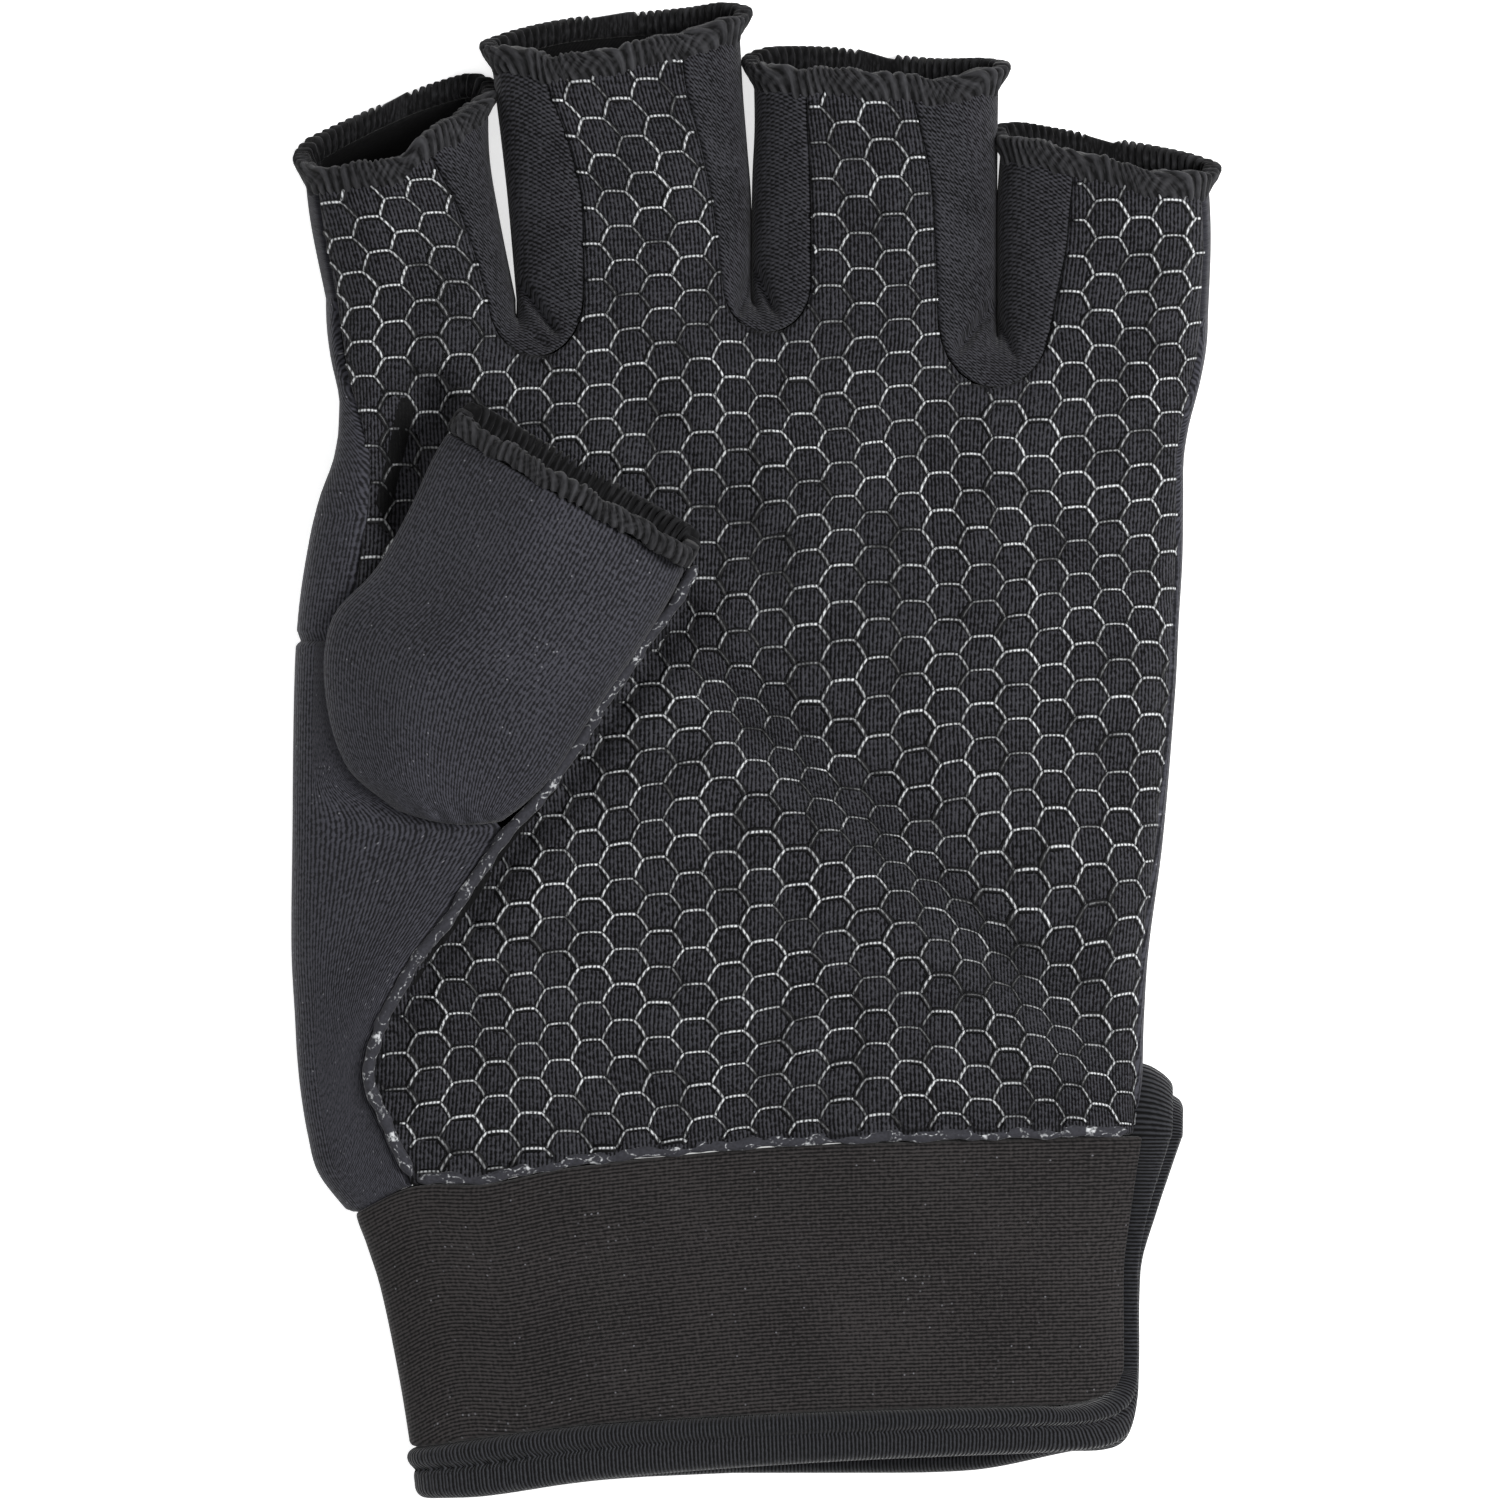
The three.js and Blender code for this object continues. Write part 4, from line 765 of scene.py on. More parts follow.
def thread_material(name, dark, light):
    """Textured polyester overlock thread: matt and twisted, with its own fibre tone, lighter by painted
    highlight where it stands proud and nearly black by painted shade in the gaps between stitches, on the
    hem's back and on its inner turns."""
    material, tree, cloth = start_material(name)
    drawn = vector_maths(tree, "MULTIPLY", cloth, (1.0, 0.35, 1.0))[0]
    fibre = noise(tree, drawn, 3.0, 4.0)
    # The thread's own fibre tone and the hem's painted light and shade together set its colour.
    proud = maths(tree, "MULTIPLY_ADD", fibre, 1.9, detail_map(tree)["X"])
    colour = mixed(tree, ramp(tree, proud, 1.0, 2.6), dark, light)
    return finish_material(
        material, tree, colour, roughness=0.85, height=fibre, bump=0.16, sheen=0.1, specular=0.2)


def finish(key):
    """The glove's finishes, each made when it is first asked for."""
    colours = bpy.context.scene.glove_colours

    def pair(name):
        return (*getattr(colours, name + "_dark"), 1), (*getattr(colours, name + "_light"), 1)

    sizes = bpy.context.scene.glove_sizes
    rib = 0.45
    makers = {
        "grip": ("interlock_knit_polyester", lambda name: knit_fabric(
            name, *pair("grip"), rib, row=0.6, row_share=0.14, bump=0.06, sheen=0.05, mottle=9.0,
            cells=(sizes.hex_pitch / MM, sizes.hex_tilt))),
        "silicone": ("screen_printed_silicone", lambda name: silicone_print(name, *pair("print"), rib)),
        "turned": ("turned_grip_knit", lambda name: turned_fabric(name, *pair("knit"), pair("print")[1])),
        "stretch": ("stretch_jersey_knit", lambda name: knit_fabric(
            name, *pair("knit"), rib, row=0.8, row_share=0.15, bump=0.03, sheen=0.1, lint_amount=0.5,
            mottle=12.0)),
        "side": ("slanted_rib_side_knit", lambda name: knit_fabric(
            name, *pair("side"), rib=0.5, row=0.5, row_share=0.4, bump=0.07, sheen=0.1, slanted=True,
            grain_share=1.6)),
        "neoprene": ("jersey_faced_neoprene", lambda name: knit_fabric(
            name, *pair("neoprene"), rib=0.5, row=0.42, row_share=0.8, bump=0.04, sheen=0.1,
            lint_amount=0.35, mottle=14.0, grain_share=1.6)),
        "tape": ("woven_binding_tape", lambda name: ribbed_tape(name, *pair("tape"), rib=0.44, bump=0.12)),
        "thread": ("overlock_thread_polyester", lambda name: thread_material(name, *pair("thread"))),
    }
    name, make = makers[key]
    return bpy.data.materials.get(name) or make(name)


# ---------------------------------------------------------------- palm


def columns_of(finger_count, crotch_count):
    """Column places: even groups are fingers, odd groups are crotches, crowded at the seams."""
    parts = [np.array([0.0])]
    groups = []
    for group in range(7):
        count = crotch_count if group % 2 else finger_count
        parts.append(group + eased(count)[1:])
        groups += [group] * count
    return np.concatenate(parts), np.array(groups)


def split_columns(u):
    """The group of each column line and how far across it the line lies. Seam lines belong to fingers."""
    group = np.minimum(np.floor(u).astype(int), 6)
    share = u - group
    on_seam = (group % 2 == 1) & (share < 1e-9)
    return np.where(on_seam, group - 1, group), np.where(on_seam, 1.0, share)


def palm_edges(n, y):
    return curve(STATIONS[n], 2, y), curve(STATIONS[n], 3, y)


def palm_right(y):
    hand = curve(HAND, 2, y) - PALM_RIGHT_INSET
    return lerp(hand, curve(STATIONS[3], 3, y), smoothstep(y, 40, 48))


def crotch_cut(n, turn, clear=SEAM):
    """The palm's cut edge round a crotch: half an ellipse from one finger's seam to the next one's."""
    _, y, depth = CROTCH[n]
    start, end = palm_edges(n, y)[1], palm_edges(n + 1, y)[0]
    return (
        (start + end) / 2 - ((end - start) / 2) * np.cos(PI * turn),
        y - (depth + clear) * np.sin(PI * turn),
    )


def crotch_row(u, cut, edges):
    """The grid line that passes round all crotches, as x and y at each column."""
    group, share = split_columns(u)
    x, y = np.zeros(len(u)), np.zeros(len(u))
    for g in range(7):
        pick = group == g
        if g % 2:
            x[pick], y[pick] = cut((g - 1) // 2, share[pick])
            continue
        n = g // 2
        level = lerp(CROTCH[max(n - 1, 0), 1], CROTCH[min(n, 2), 1], share[pick])
        left, right = edges(n, level)
        x[pick], y[pick] = lerp(left, right, share[pick]), level
    return x, y


def palm_plan(u, v):
    """The palm's grid in plan. Rows 0 to 1 run down the fingers, 1 to 2 to the thumb hole, 2 to 3 to the
    wrist; columns follow the seams."""
    cx, cy = (c[:, None] for c in crotch_row(u, crotch_cut, palm_edges))
    group, share = split_columns(u)
    down = np.clip(v, 0, 1)[None, :]
    x, y = cx + 0 * down, cy + 0 * down
    for n in range(4):
        pick = group == 2 * n
        across = share[pick][:, None]

        def mouth_angle(at):
            return angle_at(share_of(finger_ring(n, at), lerp(*palm_edges(n, at), across)))

        y[pick] = lerp(mouth_point(n, mouth_angle, across.shape) + INTO_HEM, cy[pick], down)
        x[pick] = lerp(*palm_edges(n, y[pick]), across)
    hole_y = HOLE_TOP + SEAM
    thumb_seam = curve(PALM_THUMB_EDGE, 1, HOLE_TOP)
    left_seam = curve(PALM_LEFT_SEAM, 1, HOLE_TOP)
    right_seam = palm_right(HOLE_TOP)
    across = u[:, None]
    hole_x = np.where(
        across <= 3, lerp(left_seam, thumb_seam, across / 3), lerp(thumb_seam, right_seam, (across - 3) / 4))
    down = np.clip(v - 1, 0, 1)[None, :]
    upper_y = lerp(cy, hole_y, down)
    left_bow = curve(PALM_LEFT_SEAM, 1, upper_y) - lerp(curve(PALM_LEFT_SEAM, 1, cy), left_seam, down)
    right_bow = palm_right(upper_y) - lerp(palm_right(cy), right_seam, down)
    upper_x = lerp(cx, hole_x, down) + lerp(left_bow, right_bow, across / 7)
    down = np.clip(v - 2, 0, 1)[None, :]
    part = np.maximum((across - 3) / 4, 0)
    wrist_x = lerp(PALM_THUMB_EDGE[-1, 1], palm_right(-43), part)
    lower_y = lerp(hole_y, curve(WRIST_SEAM, 1, wrist_x) + SEAM, down)
    lower_x = lerp(curve(PALM_THUMB_EDGE, 1, lower_y), palm_right(lower_y), part)
    rows = v[None, :]
    x = np.where(rows <= 1, x, np.where(rows <= 2, upper_x, lower_x))
    y = np.where(rows <= 1, y, np.where(rows <= 2, upper_y, lower_y))
    return x, y


def thumb_edge(y):
    """The x of the palm's thumb edge, and its length for each mm of y: the root of 1 + lean squared."""
    lean = (curve(PALM_THUMB_EDGE, 1, y + 1) - curve(PALM_THUMB_EDGE, 1, y - 1)) / 2
    return curve(PALM_THUMB_EDGE, 1, y), np.sqrt(1 + lean ** 2)


def palm_relief(x, y):
    """The palm falls away beside the turned edge of the thumb seam and comes up again as a Gaussian. Along
    the wrist's seam there is a low roll with a shallow groove beside it."""
    edge_x, longer = thumb_edge(y)
    from_thumb = (x - edge_x) / longer
    below_hole = 1 - smoothstep(y, HOLE_TOP - 3, HOLE_TOP)
    wobble = 0.12 * np.sin(1.3 * y + 0.7 * np.sin(0.5 * y))
    deep = FALL["low"] + FALL["gain"] * smoothstep(y, -38, -20)
    beyond = np.maximum(from_thumb - FALL["bottom"], 0)
    sunk = smoothstep(from_thumb + wobble, FALL["start"], FALL["bottom"])
    fall = deep * sunk * bell(beyond, FALL["fade"])
    from_wrist = y - curve(WRIST_SEAM, 1, x)
    wrist_roll = 0.35 * bell(from_wrist - 0.75, 0.5)
    wrist_groove = 0.15 * bell(from_wrist - 1.8, 0.4)
    return wrist_roll - wrist_groove - fall * below_hole


def palm_point(x, y, depth=0.0):
    """The palm panel's face: the upper surface with its turned edges and a slight waviness."""
    point = upper_point(x, y, depth)
    waves = 0.12 * np.sin(0.55 * x + 0.31 * y) * np.sin(0.23 * x - 0.47 * y + 1.0)
    inside = smoothstep(palm_right(y) - x, 0, 4)
    point[..., 2] += (palm_relief(x, y) + waves) * inside
    return point


# How the flat cloth is drawn: in mm into the long fold and on its far side, and turned, in radians, about a
# place on the heel of the hand.
FOLD_PULL = 2.6
FAR_PULL = 3.2
HEEL = (27, -31)
HEEL_TURN = 0.09

# The flat cloth's table has a row for each mm of y and a column for each half mm along the section.
CLOTH_STEP = 0.5
CLOTH_Y = np.arange(-52.0, 85.0, 1.0)
CLOTH_S = np.arange(-62.0, 62.5, CLOTH_STEP)


def cloth_table():
    """x for each length along the hand's section from its crest line, and each y."""
    angles = np.linspace(PI, 0, 400)[None, :]
    ring = [np.asarray(v)[..., None] for v in hand_ring(CLOTH_Y)[:3]] + [0.0]
    x, z = ring_point(ring, angles)
    lengths = running(np.hypot(np.diff(x), np.diff(z)))
    return np.array([np.interp(CLOTH_S, l - np.interp(0, a, l), a) for a, l in zip(x, lengths)])


def lean_of(finger, y):
    """How far a finger's strip has moved sideways at a y, from its place at the crotch."""
    shifts = []
    for n in range(4):
        base = np.mean([CROTCH[max(n - 1, 0), 1], CROTCH[min(n, 2), 1]])
        left, right = palm_edges(n, np.maximum(y, base))
        low, high = palm_edges(n, base)
        shifts.append((left + right - low - high) / 2)
    return np.choose(finger, shifts)


def cloth_to_plan(s, t, table):
    """From places on the flat cloth to x and y: lengths are laid along the section, strips lean with their
    fingers, and the cloth is drawn together in the long fold, drifts by small sines and turns at the heel."""
    row = np.clip(t - CLOTH_Y[0], 0, len(CLOTH_Y) - 1.001)
    column = np.clip((s - CLOTH_S[0]) / CLOTH_STEP, 0, len(CLOTH_S) - 1.001)
    i, j = row.astype(int), column.astype(int)
    a, b = row - i, column - j
    x = lerp(lerp(table[i, j], table[i, j + 1], b), lerp(table[i + 1, j], table[i + 1, j + 1], b), a)
    x = x + lean_of(finger_at(x), t)
    along, off, run, length = beside_fold(x, t, FOLDS[0])
    ends = smoothstep(along, -0.15, 0.15) * (1 - smoothstep(along, 0.85, 1.2))
    pull = -FOLD_PULL * ends * (off / 8) * bell(off, 9)
    pull = pull - FAR_PULL * smoothstep(off, 1, 23) * smoothstep(along, 0.35, 0.95)
    calm = smoothstep(48 - t, 0, 6)
    drift_x = 0.3 * np.sin(0.13 * x + 0.21 * t + 0.6) + 0.14 * np.sin(0.31 * t - 0.17 * x)
    drift_y = 0.26 * np.sin(0.19 * x - 0.12 * t + 2.0) + 0.14 * np.sin(0.29 * x + 0.23 * t)
    turned = -HEEL_TURN * spot(x, t, HEEL, (22, 18))
    new_x = x + pull * run[1] / length + drift_x * calm - turned * (t - HEEL[1])
    return new_x, t - pull * run[0] / length + drift_y + turned * (x - HEEL[0])


def plan_to_cloth(x, y, table):
    """The place on the flat cloth for each x and y, by stepping along what is still missing."""
    s, t = x.copy(), y.copy()
    for _ in range(60):
        px, py = cloth_to_plan(s, t, table)
        s, t = s + 0.8 * (x - px), t + 0.8 * (y - py)
    return s, t


def on_strip_or_low(finger, x, y, margin):
    """Beside a crotch the print stays on the strip's side of its seam until the cut edge has turned away."""
    low = [palm_edges(n, y)[0] + margin if n else np.full_like(x, -99.0) for n in range(4)]
    high = [palm_edges(n, y)[1] - margin if n < 3 else np.full_like(x, 99.0) for n in range(4)]
    beside = (x > np.choose(finger, low)) & (x < np.choose(finger, high))
    return beside | (y < curve(CROTCH, 1, x) - 1.0)


def in_palm(x, y, margin):
    """Whether a place lies on the palm panel, with a margin in mm to its edges."""
    finger = finger_at(x)
    inside = (y > curve(WRIST_SEAM, 1, x) + 1.0 + margin) & (x < palm_right(y) - margin)
    left = np.where(y > HOLE_TOP, curve(PALM_LEFT_SEAM, 1, y), curve(PALM_THUMB_EDGE, 1, y) + 1.4)
    on_hand = inside & (x > left + margin)
    for n in range(3):
        _, cy, depth = CROTCH[n]
        start, end = palm_edges(n, cy)[1], palm_edges(n + 1, cy)[0]
        across = (x - (start + end) / 2) / ((end - start) / 2 + margin)
        down = (cy - y) / (depth + margin)
        on_hand &= ~((across ** 2 + down ** 2 < 1) & (down > 0))
    crotch_y = np.choose(finger, [CROTCH[0, 1], CROTCH[:2, 1].mean(), CROTCH[1:, 1].mean(), CROTCH[2, 1]])
    strips = []
    for n in range(4):
        low, high = palm_edges(n, y)
        top = curve(PALM_MOUTH[n], 1, x) - HEM_LENGTH
        strips.append((x > low + margin) & (x < high - margin) & (y < top - 0.2))
    on_strip = np.choose(finger, strips)
    return np.where(y > crotch_y, on_strip, on_hand & on_strip_or_low(finger, x, y, margin))


class GLOVE_OT_palm(bpy.types.Operator):
    """Palm panel of grip knit with its silicone hexagons"""

    bl_idname = "glove.palm"
    bl_label = "Palm and grip print"

    def execute(self, context):
        u, groups = columns_of(22, 14)
        v = np.concatenate([eased(46), 1 + eased(52, 0.6)[1:], 2 + eased(86, 0.7)[1:]])
        x, y = palm_plan(u, v)
        row = v[:-1]
        present = np.where(
            row[None, :] < 1, (groups % 2 == 0)[:, None],
            np.where(row[None, :] < 2, True, (groups >= 3)[:, None]))
        cloth = stacked(*plan_to_cloth(x, y, cloth_table()))
        cloth_wall("palm_panel", lambda depth: palm_point(x, y, depth), GRIP_FABRIC, "grip",
                   cloth, present)
        self.print_hexagons(context.scene.glove_sizes)
        down = np.linspace(20.6, -47.6, 330)
        edge_x, longer = thumb_edge(down)
        aside = edge_x + 0.55 * longer + 0.12 * np.sin(0.9 * down)
        aside += np.where(down > HOLE_TOP, 0.62 * (down - HOLE_TOP), 0)
        self.turned_edge("palm_turned_thumb_edge", aside, down, wide=0.68, high=0.8)
        over = np.linspace(-37.2, 42.2, 330)
        low = curve(WRIST_SEAM, 1, over) + 0.6 + 0.1 * np.sin(0.9 * over)
        self.turned_edge("palm_turned_wrist_edge", over, low, wide=0.62, high=0.42)
        return {"FINISHED"}

    def turned_edge(self, name, x, y, wide, high):
        """A turned edge of the panel: a high half ellipse above and a low one below, carried along a line,
        swelling and shrinking a little."""
        dx, dy = np.gradient(x), np.gradient(y)
        across = (stacked(dy, -dx) / np.hypot(dx, dy)[:, None])[:, None]
        length = running(np.hypot(np.diff(x), np.diff(y)))
        swell = 1 + 0.16 * np.sin(1.9 * length + 0.8 * np.sin(0.6 * length)) * np.sin(0.37 * length)
        swell = (swell * np.sqrt(np.clip(np.minimum(length, length[-1] - length) / 1.2, 0, 1)))[:, None]
        turn = np.linspace(0, 2 * PI, 18, endpoint=False)[None, :]
        rise = np.where(np.sin(turn) > 0, high, 0.3 * high) * np.sin(turn) * swell
        plan = stacked(x, y)[:, None] + across * (wide * np.cos(turn) * swell)[..., None]
        points = np.concatenate([plan, (upper_point(x, y)[..., 2][:, None] + rise)[..., None]], axis=-1)
        quads = band_quads(*points.shape[:2], closed=False)
        put_piece(name, points, quads, stacked(length[:, None], turn * 0.8), "turned")

    def print_strength(self, x, y, way):
        """How much stronger the print's painted glint is at a place: painted shade dims it in the folds,
        beside the thumb and in the middle of the upper palm; painted highlight strengthens it at both outer
        edges, on the lower left of the palm, and on the side of a cell that leans towards the nearer edge."""
        # Painted shade: the glint is dimmed in the folds, beside the thumb and in the middle of the upper
        # palm.
        painted_shade = 0.34 * np.minimum(fold_depth(x, y, FOLDS), 1.3) / 1.3
        painted_shade = painted_shade + 0.26 * spot(x, y, (5, 20), (13, 10))
        # Painted highlight: the glint is strengthened at both outer edges, on the lower left of the palm, and
        # on the cell sides that face the nearer edge.
        edge = 0.22 * (1 - smoothstep(palm_right(y) - x, 1, 6))
        edge = edge + 0.22 * (1 - smoothstep(x + 44, 0, 7)) * smoothstep(y, 28, 40)
        edge = edge + 0.16 * spot(x, y, (-14, -24), (15, 16))
        return edge - painted_shade + 0.14 * way * (1 - 2 * smoothstep(x, 5, 38))

    def print_hexagons(self, sizes):
        """Hexagon lines on the flat cloth: each cell draws its three upper sides, a little rounded at the
        corners, as low ribbons in short pieces, and only the pieces on the palm panel are kept."""
        table = cloth_table()
        side = sizes.hex_pitch / MM / np.sqrt(3)
        i, j = np.meshgrid(np.arange(-20, 21), np.arange(-22, 26), indexing="ij")
        cx = 1.5 * side * i.ravel()
        cy = np.sqrt(3) * side * (j.ravel() + 0.5 * (i.ravel() % 2))
        corners = np.radians([0, 60, 120, 180])
        px = cx[:, None] + side * np.cos(corners)
        py = cy[:, None] + side * np.sin(corners)
        start = stacked(px[:, :3], py[:, :3]).reshape(-1, 2)
        end = stacked(px[:, 1:], py[:, 1:]).reshape(-1, 2)
        tilt = sizes.hex_tilt
        laid = np.diag([PRINT_STRETCH, 1.0]) @ [[np.cos(tilt), np.sin(tilt)], [-np.sin(tilt), np.cos(tilt)]]
        steps = 4
        t = np.linspace(0, 1, steps + 1)[None, :, None]
        centre = np.repeat(stacked(cx, cy), 3, axis=0)[:, None]
        spoke = lerp(start[:, None], end[:, None], t) - centre
        reach = np.linalg.norm(spoke, axis=-1, keepdims=True) / side
        corner = (reach - HEX_SIDE_SHARE) / (1 - HEX_SIDE_SHARE)
        line = (centre + spoke * (1 - 0.045 * corner)) @ laid
        direction = (end - start) @ laid
        direction /= np.linalg.norm(direction, axis=1, keepdims=True)
        normal = stacked(-direction[:, 1], direction[:, 0])[:, None, None]
        luck = chance(start[:, 0], start[:, 1])
        groove = sizes.groove_width / MM * (0.85 + 0.3 * luck)
        way = np.tile([-1.0, 0.0, 1.0], len(cx))
        along = np.linspace(0, 1, steps + 1)
        foot = np.tile(np.stack([1 - along, 0 * along, along]), (len(cx), 1))
        offsets = np.array([-0.5, -0.24, -0.12, 0.12, 0.24, 0.5])
        lifts = np.array([-0.05, 0.02, 1.0, 1.0, 0.02, -0.05]) * sizes.print_height / MM
        spread = offsets[None, None, :, None] * groove[:, None, None, None]
        flat = line[:, :, None] + normal * spread
        x, y = cloth_to_plan(flat[..., 0], flat[..., 1], table)
        # Painted highlight: each side's glint strength, brighter on the level top side, faded towards the
        # cell's side corners, with a random share per side.
        level = (0.34 + 0.15 * np.abs(direction[:, 0]) + 0.5 * luck)[:, None] - 0.25 * foot ** 2
        level = level + self.print_strength(x[..., 2], y[..., 2], way[:, None])
        detail = stacked(level[..., None], 2 * offsets[None, None, :])
        middle = slice(1, -1)
        keep = in_palm(x[..., middle], y[..., middle], 0.1).all(axis=2)
        keep = keep[:, :-1] & keep[:, 1:]
        some = keep.any(axis=1)
        x, y, flat, detail, keep = x[some], y[some], flat[some], detail[some], keep[some]
        nearby = 0.15
        z = palm_point(x, y)[..., 2]
        slope_x = (palm_point(x + nearby, y)[..., 2] - palm_point(x - nearby, y)[..., 2]) / (2 * nearby)
        slope_y = (palm_point(x, y + nearby)[..., 2] - palm_point(x, y - nearby)[..., 2]) / (2 * nearby)
        lift = lifts[None, None, :] / np.sqrt(1 + slope_x ** 2 + slope_y ** 2)
        points = stacked(x - slope_x * lift, y - slope_y * lift, z + lift)
        lanes = len(offsets)
        base = np.arange(len(points))[:, None, None] * (steps + 1) * lanes
        quads = base + np.roll(band_quads(steps + 1, lanes, closed=False)[:, ::-1], 1, axis=1)
        sides = quads[np.repeat(keep, lanes, axis=1)]
        before = np.pad(keep[:, :-1], ((0, 0), (1, 0)))
        after = np.pad(keep[:, 1:], ((0, 0), (0, 1)))
        rings = [(np.argwhere(keep & ~before), 0, 1), (np.argwhere(keep & ~after), 1, -1)]
        caps = []
        for found, step, turned in rings:
            first = (found[:, :1] * (steps + 1) + found[:, 1:] + step) * lanes
            ring = first + np.arange(lanes)[::-turned]
            caps += [ring[:, [0, 1, 4, 5]], ring[:, [1, 2, 3, 4]]]
        every = np.concatenate([sides, *caps])
        put_piece("palm_grip_print", points, every, flat, "silicone", extra=detail)


# ---------------------------------------------------------------- sides of the fingers


def finger_side(n, side, y, share, margin, depth=0.0):
    """A finger's side between the palm's seam and the back's, at a share of the way by length."""
    ring = finger_ring(n, y)
    start = angle_at(share_of(ring, palm_edges(n, y)[1 if side > 0 else 0]))
    end = -UNDER_SEAM_ANGLE if side > 0 else PI + UNDER_SEAM_ANGLE
    angle = angle_along(ring, start, end, share, margin)
    x, z = ring_point(ring, angle, depth)
    return x, z, angle


def crotch_fold(n, turn, share, margin, depth=0.0):
    """The bottom of a crotch: it turns from one finger's side to the next one's on half an ellipse, wide at
    the palm's cut edge and nearly closed at the back."""
    y = CROTCH[n, 1]
    cut_x, cut_y = crotch_cut(n, turn, 0.0)
    sides = [finger_side(n, 1, y, share, margin), finger_side(n + 1, -1, y, share, margin)]
    seams = [finger_side(n, 1, y, 0.0, 0.0), finger_side(n + 1, -1, y, 0.0, 0.0)]
    edges = [finger_ring(n, y)[1], finger_ring(n + 1, y)[0]]
    reaches = [(sides[k][0] - seams[k][0]) / (edges[k] - seams[k][0]) for k in range(2)]
    reach = lerp(reaches[0], reaches[1], turn)
    tip_x = lerp(edges[0], edges[1], (1 - np.cos(PI * turn)) / 2)
    tip_y = y - CROTCH_FOLD_DEPTH * np.sin(PI * turn)
    seam_z = lerp(seams[0][1], seams[1][1], turn)
    lift = (upper_point(cut_x, cut_y)[..., 2] - seam_z) * (1 - share) ** 2
    inward = np.sin(PI * np.clip(share, 0, 1)) ** 0.5
    over, _, up = unit_section(lerp(sides[0][2], PI - sides[1][2], turn))
    level = depth * (1 - up ** 4)
    cosine = np.cos(PI * turn)
    return stacked(
        lerp(cut_x, tip_x, reach) - level * cosine * lerp(np.abs(cosine), 1, inward),
        lerp(cut_y, tip_y, reach) - level * np.sin(PI * turn) * inward,
        lerp(sides[0][1], sides[1][1], turn) + lift + np.where(over, -depth, depth) * up,
    )


class GLOVE_OT_sides(bpy.types.Operator):
    """Side strips between the fingers, each folded once at its crotch"""

    bl_idname = "glove.sides"
    bl_label = "Side strips"

    def execute(self, context):
        for n, name in enumerate(("index_middle", "middle_ring", "ring_little")):
            self.strip(n, f"fourchette_{name}")
        return {"FINISHED"}

    def strip(self, n, node):
        arm, bottom, across = 40, 60, 40
        share = eased(across)[None, :]
        down = eased(arm, 0.5)[:, None]
        turn = np.linspace(0, 1, bottom + 1)[1:-1][:, None]
        tops = []
        for finger, side in ((n, 1), (n + 1, -1)):
            top = mouth_point(
                finger, lambda y: finger_side(finger, side, y, share, SEAM)[2], share.shape) + INTO_HEM
            tops.append(top)

        def point(depth):
            depth = np.broadcast_to(depth, (2 * arm + bottom + 1, across + 1))
            first = lerp(tops[0], CROTCH[n, 1], down)
            last = lerp(CROTCH[n, 1], tops[1], down)
            xa, za, _ = finger_side(n, 1, first, share, SEAM, depth[:arm + 1])
            xb, zb, _ = finger_side(n + 1, -1, last, share, SEAM, depth[-arm - 1:])
            middle = crotch_fold(n, turn, share, SEAM, depth[arm + 1:-arm - 1])
            grid = np.concatenate([stacked(xa, first, za), middle, stacked(xb, last, zb)])
            upper = (1 - smoothstep(share, 0.25, 0.6)) * smoothstep(share, 0, 0.05)
            grid[..., 2] -= fold_depth(grid[..., 0], grid[..., 1], CREASES[n]) * upper
            return grid

        x, y, z = np.moveaxis(point(0.0), -1, 0)
        cloth_wall(node, point, SIDE_KNIT, "side", stacked(x, y - z))


# ---------------------------------------------------------------- back and gusset


def back_edges(n, y):
    left, right, _, _ = finger_ring(n, y)
    return tuple((left + right) / 2 + side * UNDER_SEAM_SHARE * (right - left) / 2 for side in (-1, 1))


def back_cut(n, turn):
    place = crotch_fold(n, turn, np.float64(1.0), 0.0)
    return place[..., 0], place[..., 1]


def back_plan(u, v):
    """The back's grid in plan: rows 0 to 1 down the fingers, 1 to 2 to the gusset, 2 to 3 to the wrist."""
    cx, cy = (c[:, None] for c in crotch_row(u, back_cut, back_edges))
    group, part = split_columns(u)
    across, rows = u[:, None], v[None, :]
    upper = np.clip(rows - 1, 0, 1)
    lower = np.clip(rows - 2, 0, 1)
    hand_share = UNDER_SEAM_SHARE * (2 * across / 7 - 1) + 0 * rows
    row_y = lerp(cy, GUSSET_TOP - 0.2, upper)
    x, y = cx + 0 * rows, cy + 0 * rows
    for _ in range(6):
        left, right, _, _ = hand_ring(y)
        x = lerp(cx, (left + right) / 2 + hand_share * (right - left) / 2, smoothstep(upper, 0, 0.8))
        y = lerp(row_y, curve(WRIST_SEAM, 1, x) + SEAM, lower)
    share = hand_share
    for n in range(4):
        pick = group == 2 * n
        under = UNDER_SEAM_SHARE * (2 * part[pick] - 1)[:, None]
        edge = mouth_point(n, lambda at: -angle_at(under, UNDER_POWER) + 0 * at, under.shape) + INTO_HEM
        finger_y = lerp(edge, cy[pick], np.clip(rows, 0, 1))
        left, right = back_edges(n, finger_y)
        on_finger = rows <= 1
        x[pick] = np.where(on_finger, lerp(left, right, part[pick][:, None]), x[pick])
        y[pick] = np.where(on_finger, finger_y, y[pick])
        share[pick] = np.where(on_finger, under, share[pick])
    return x, y, share


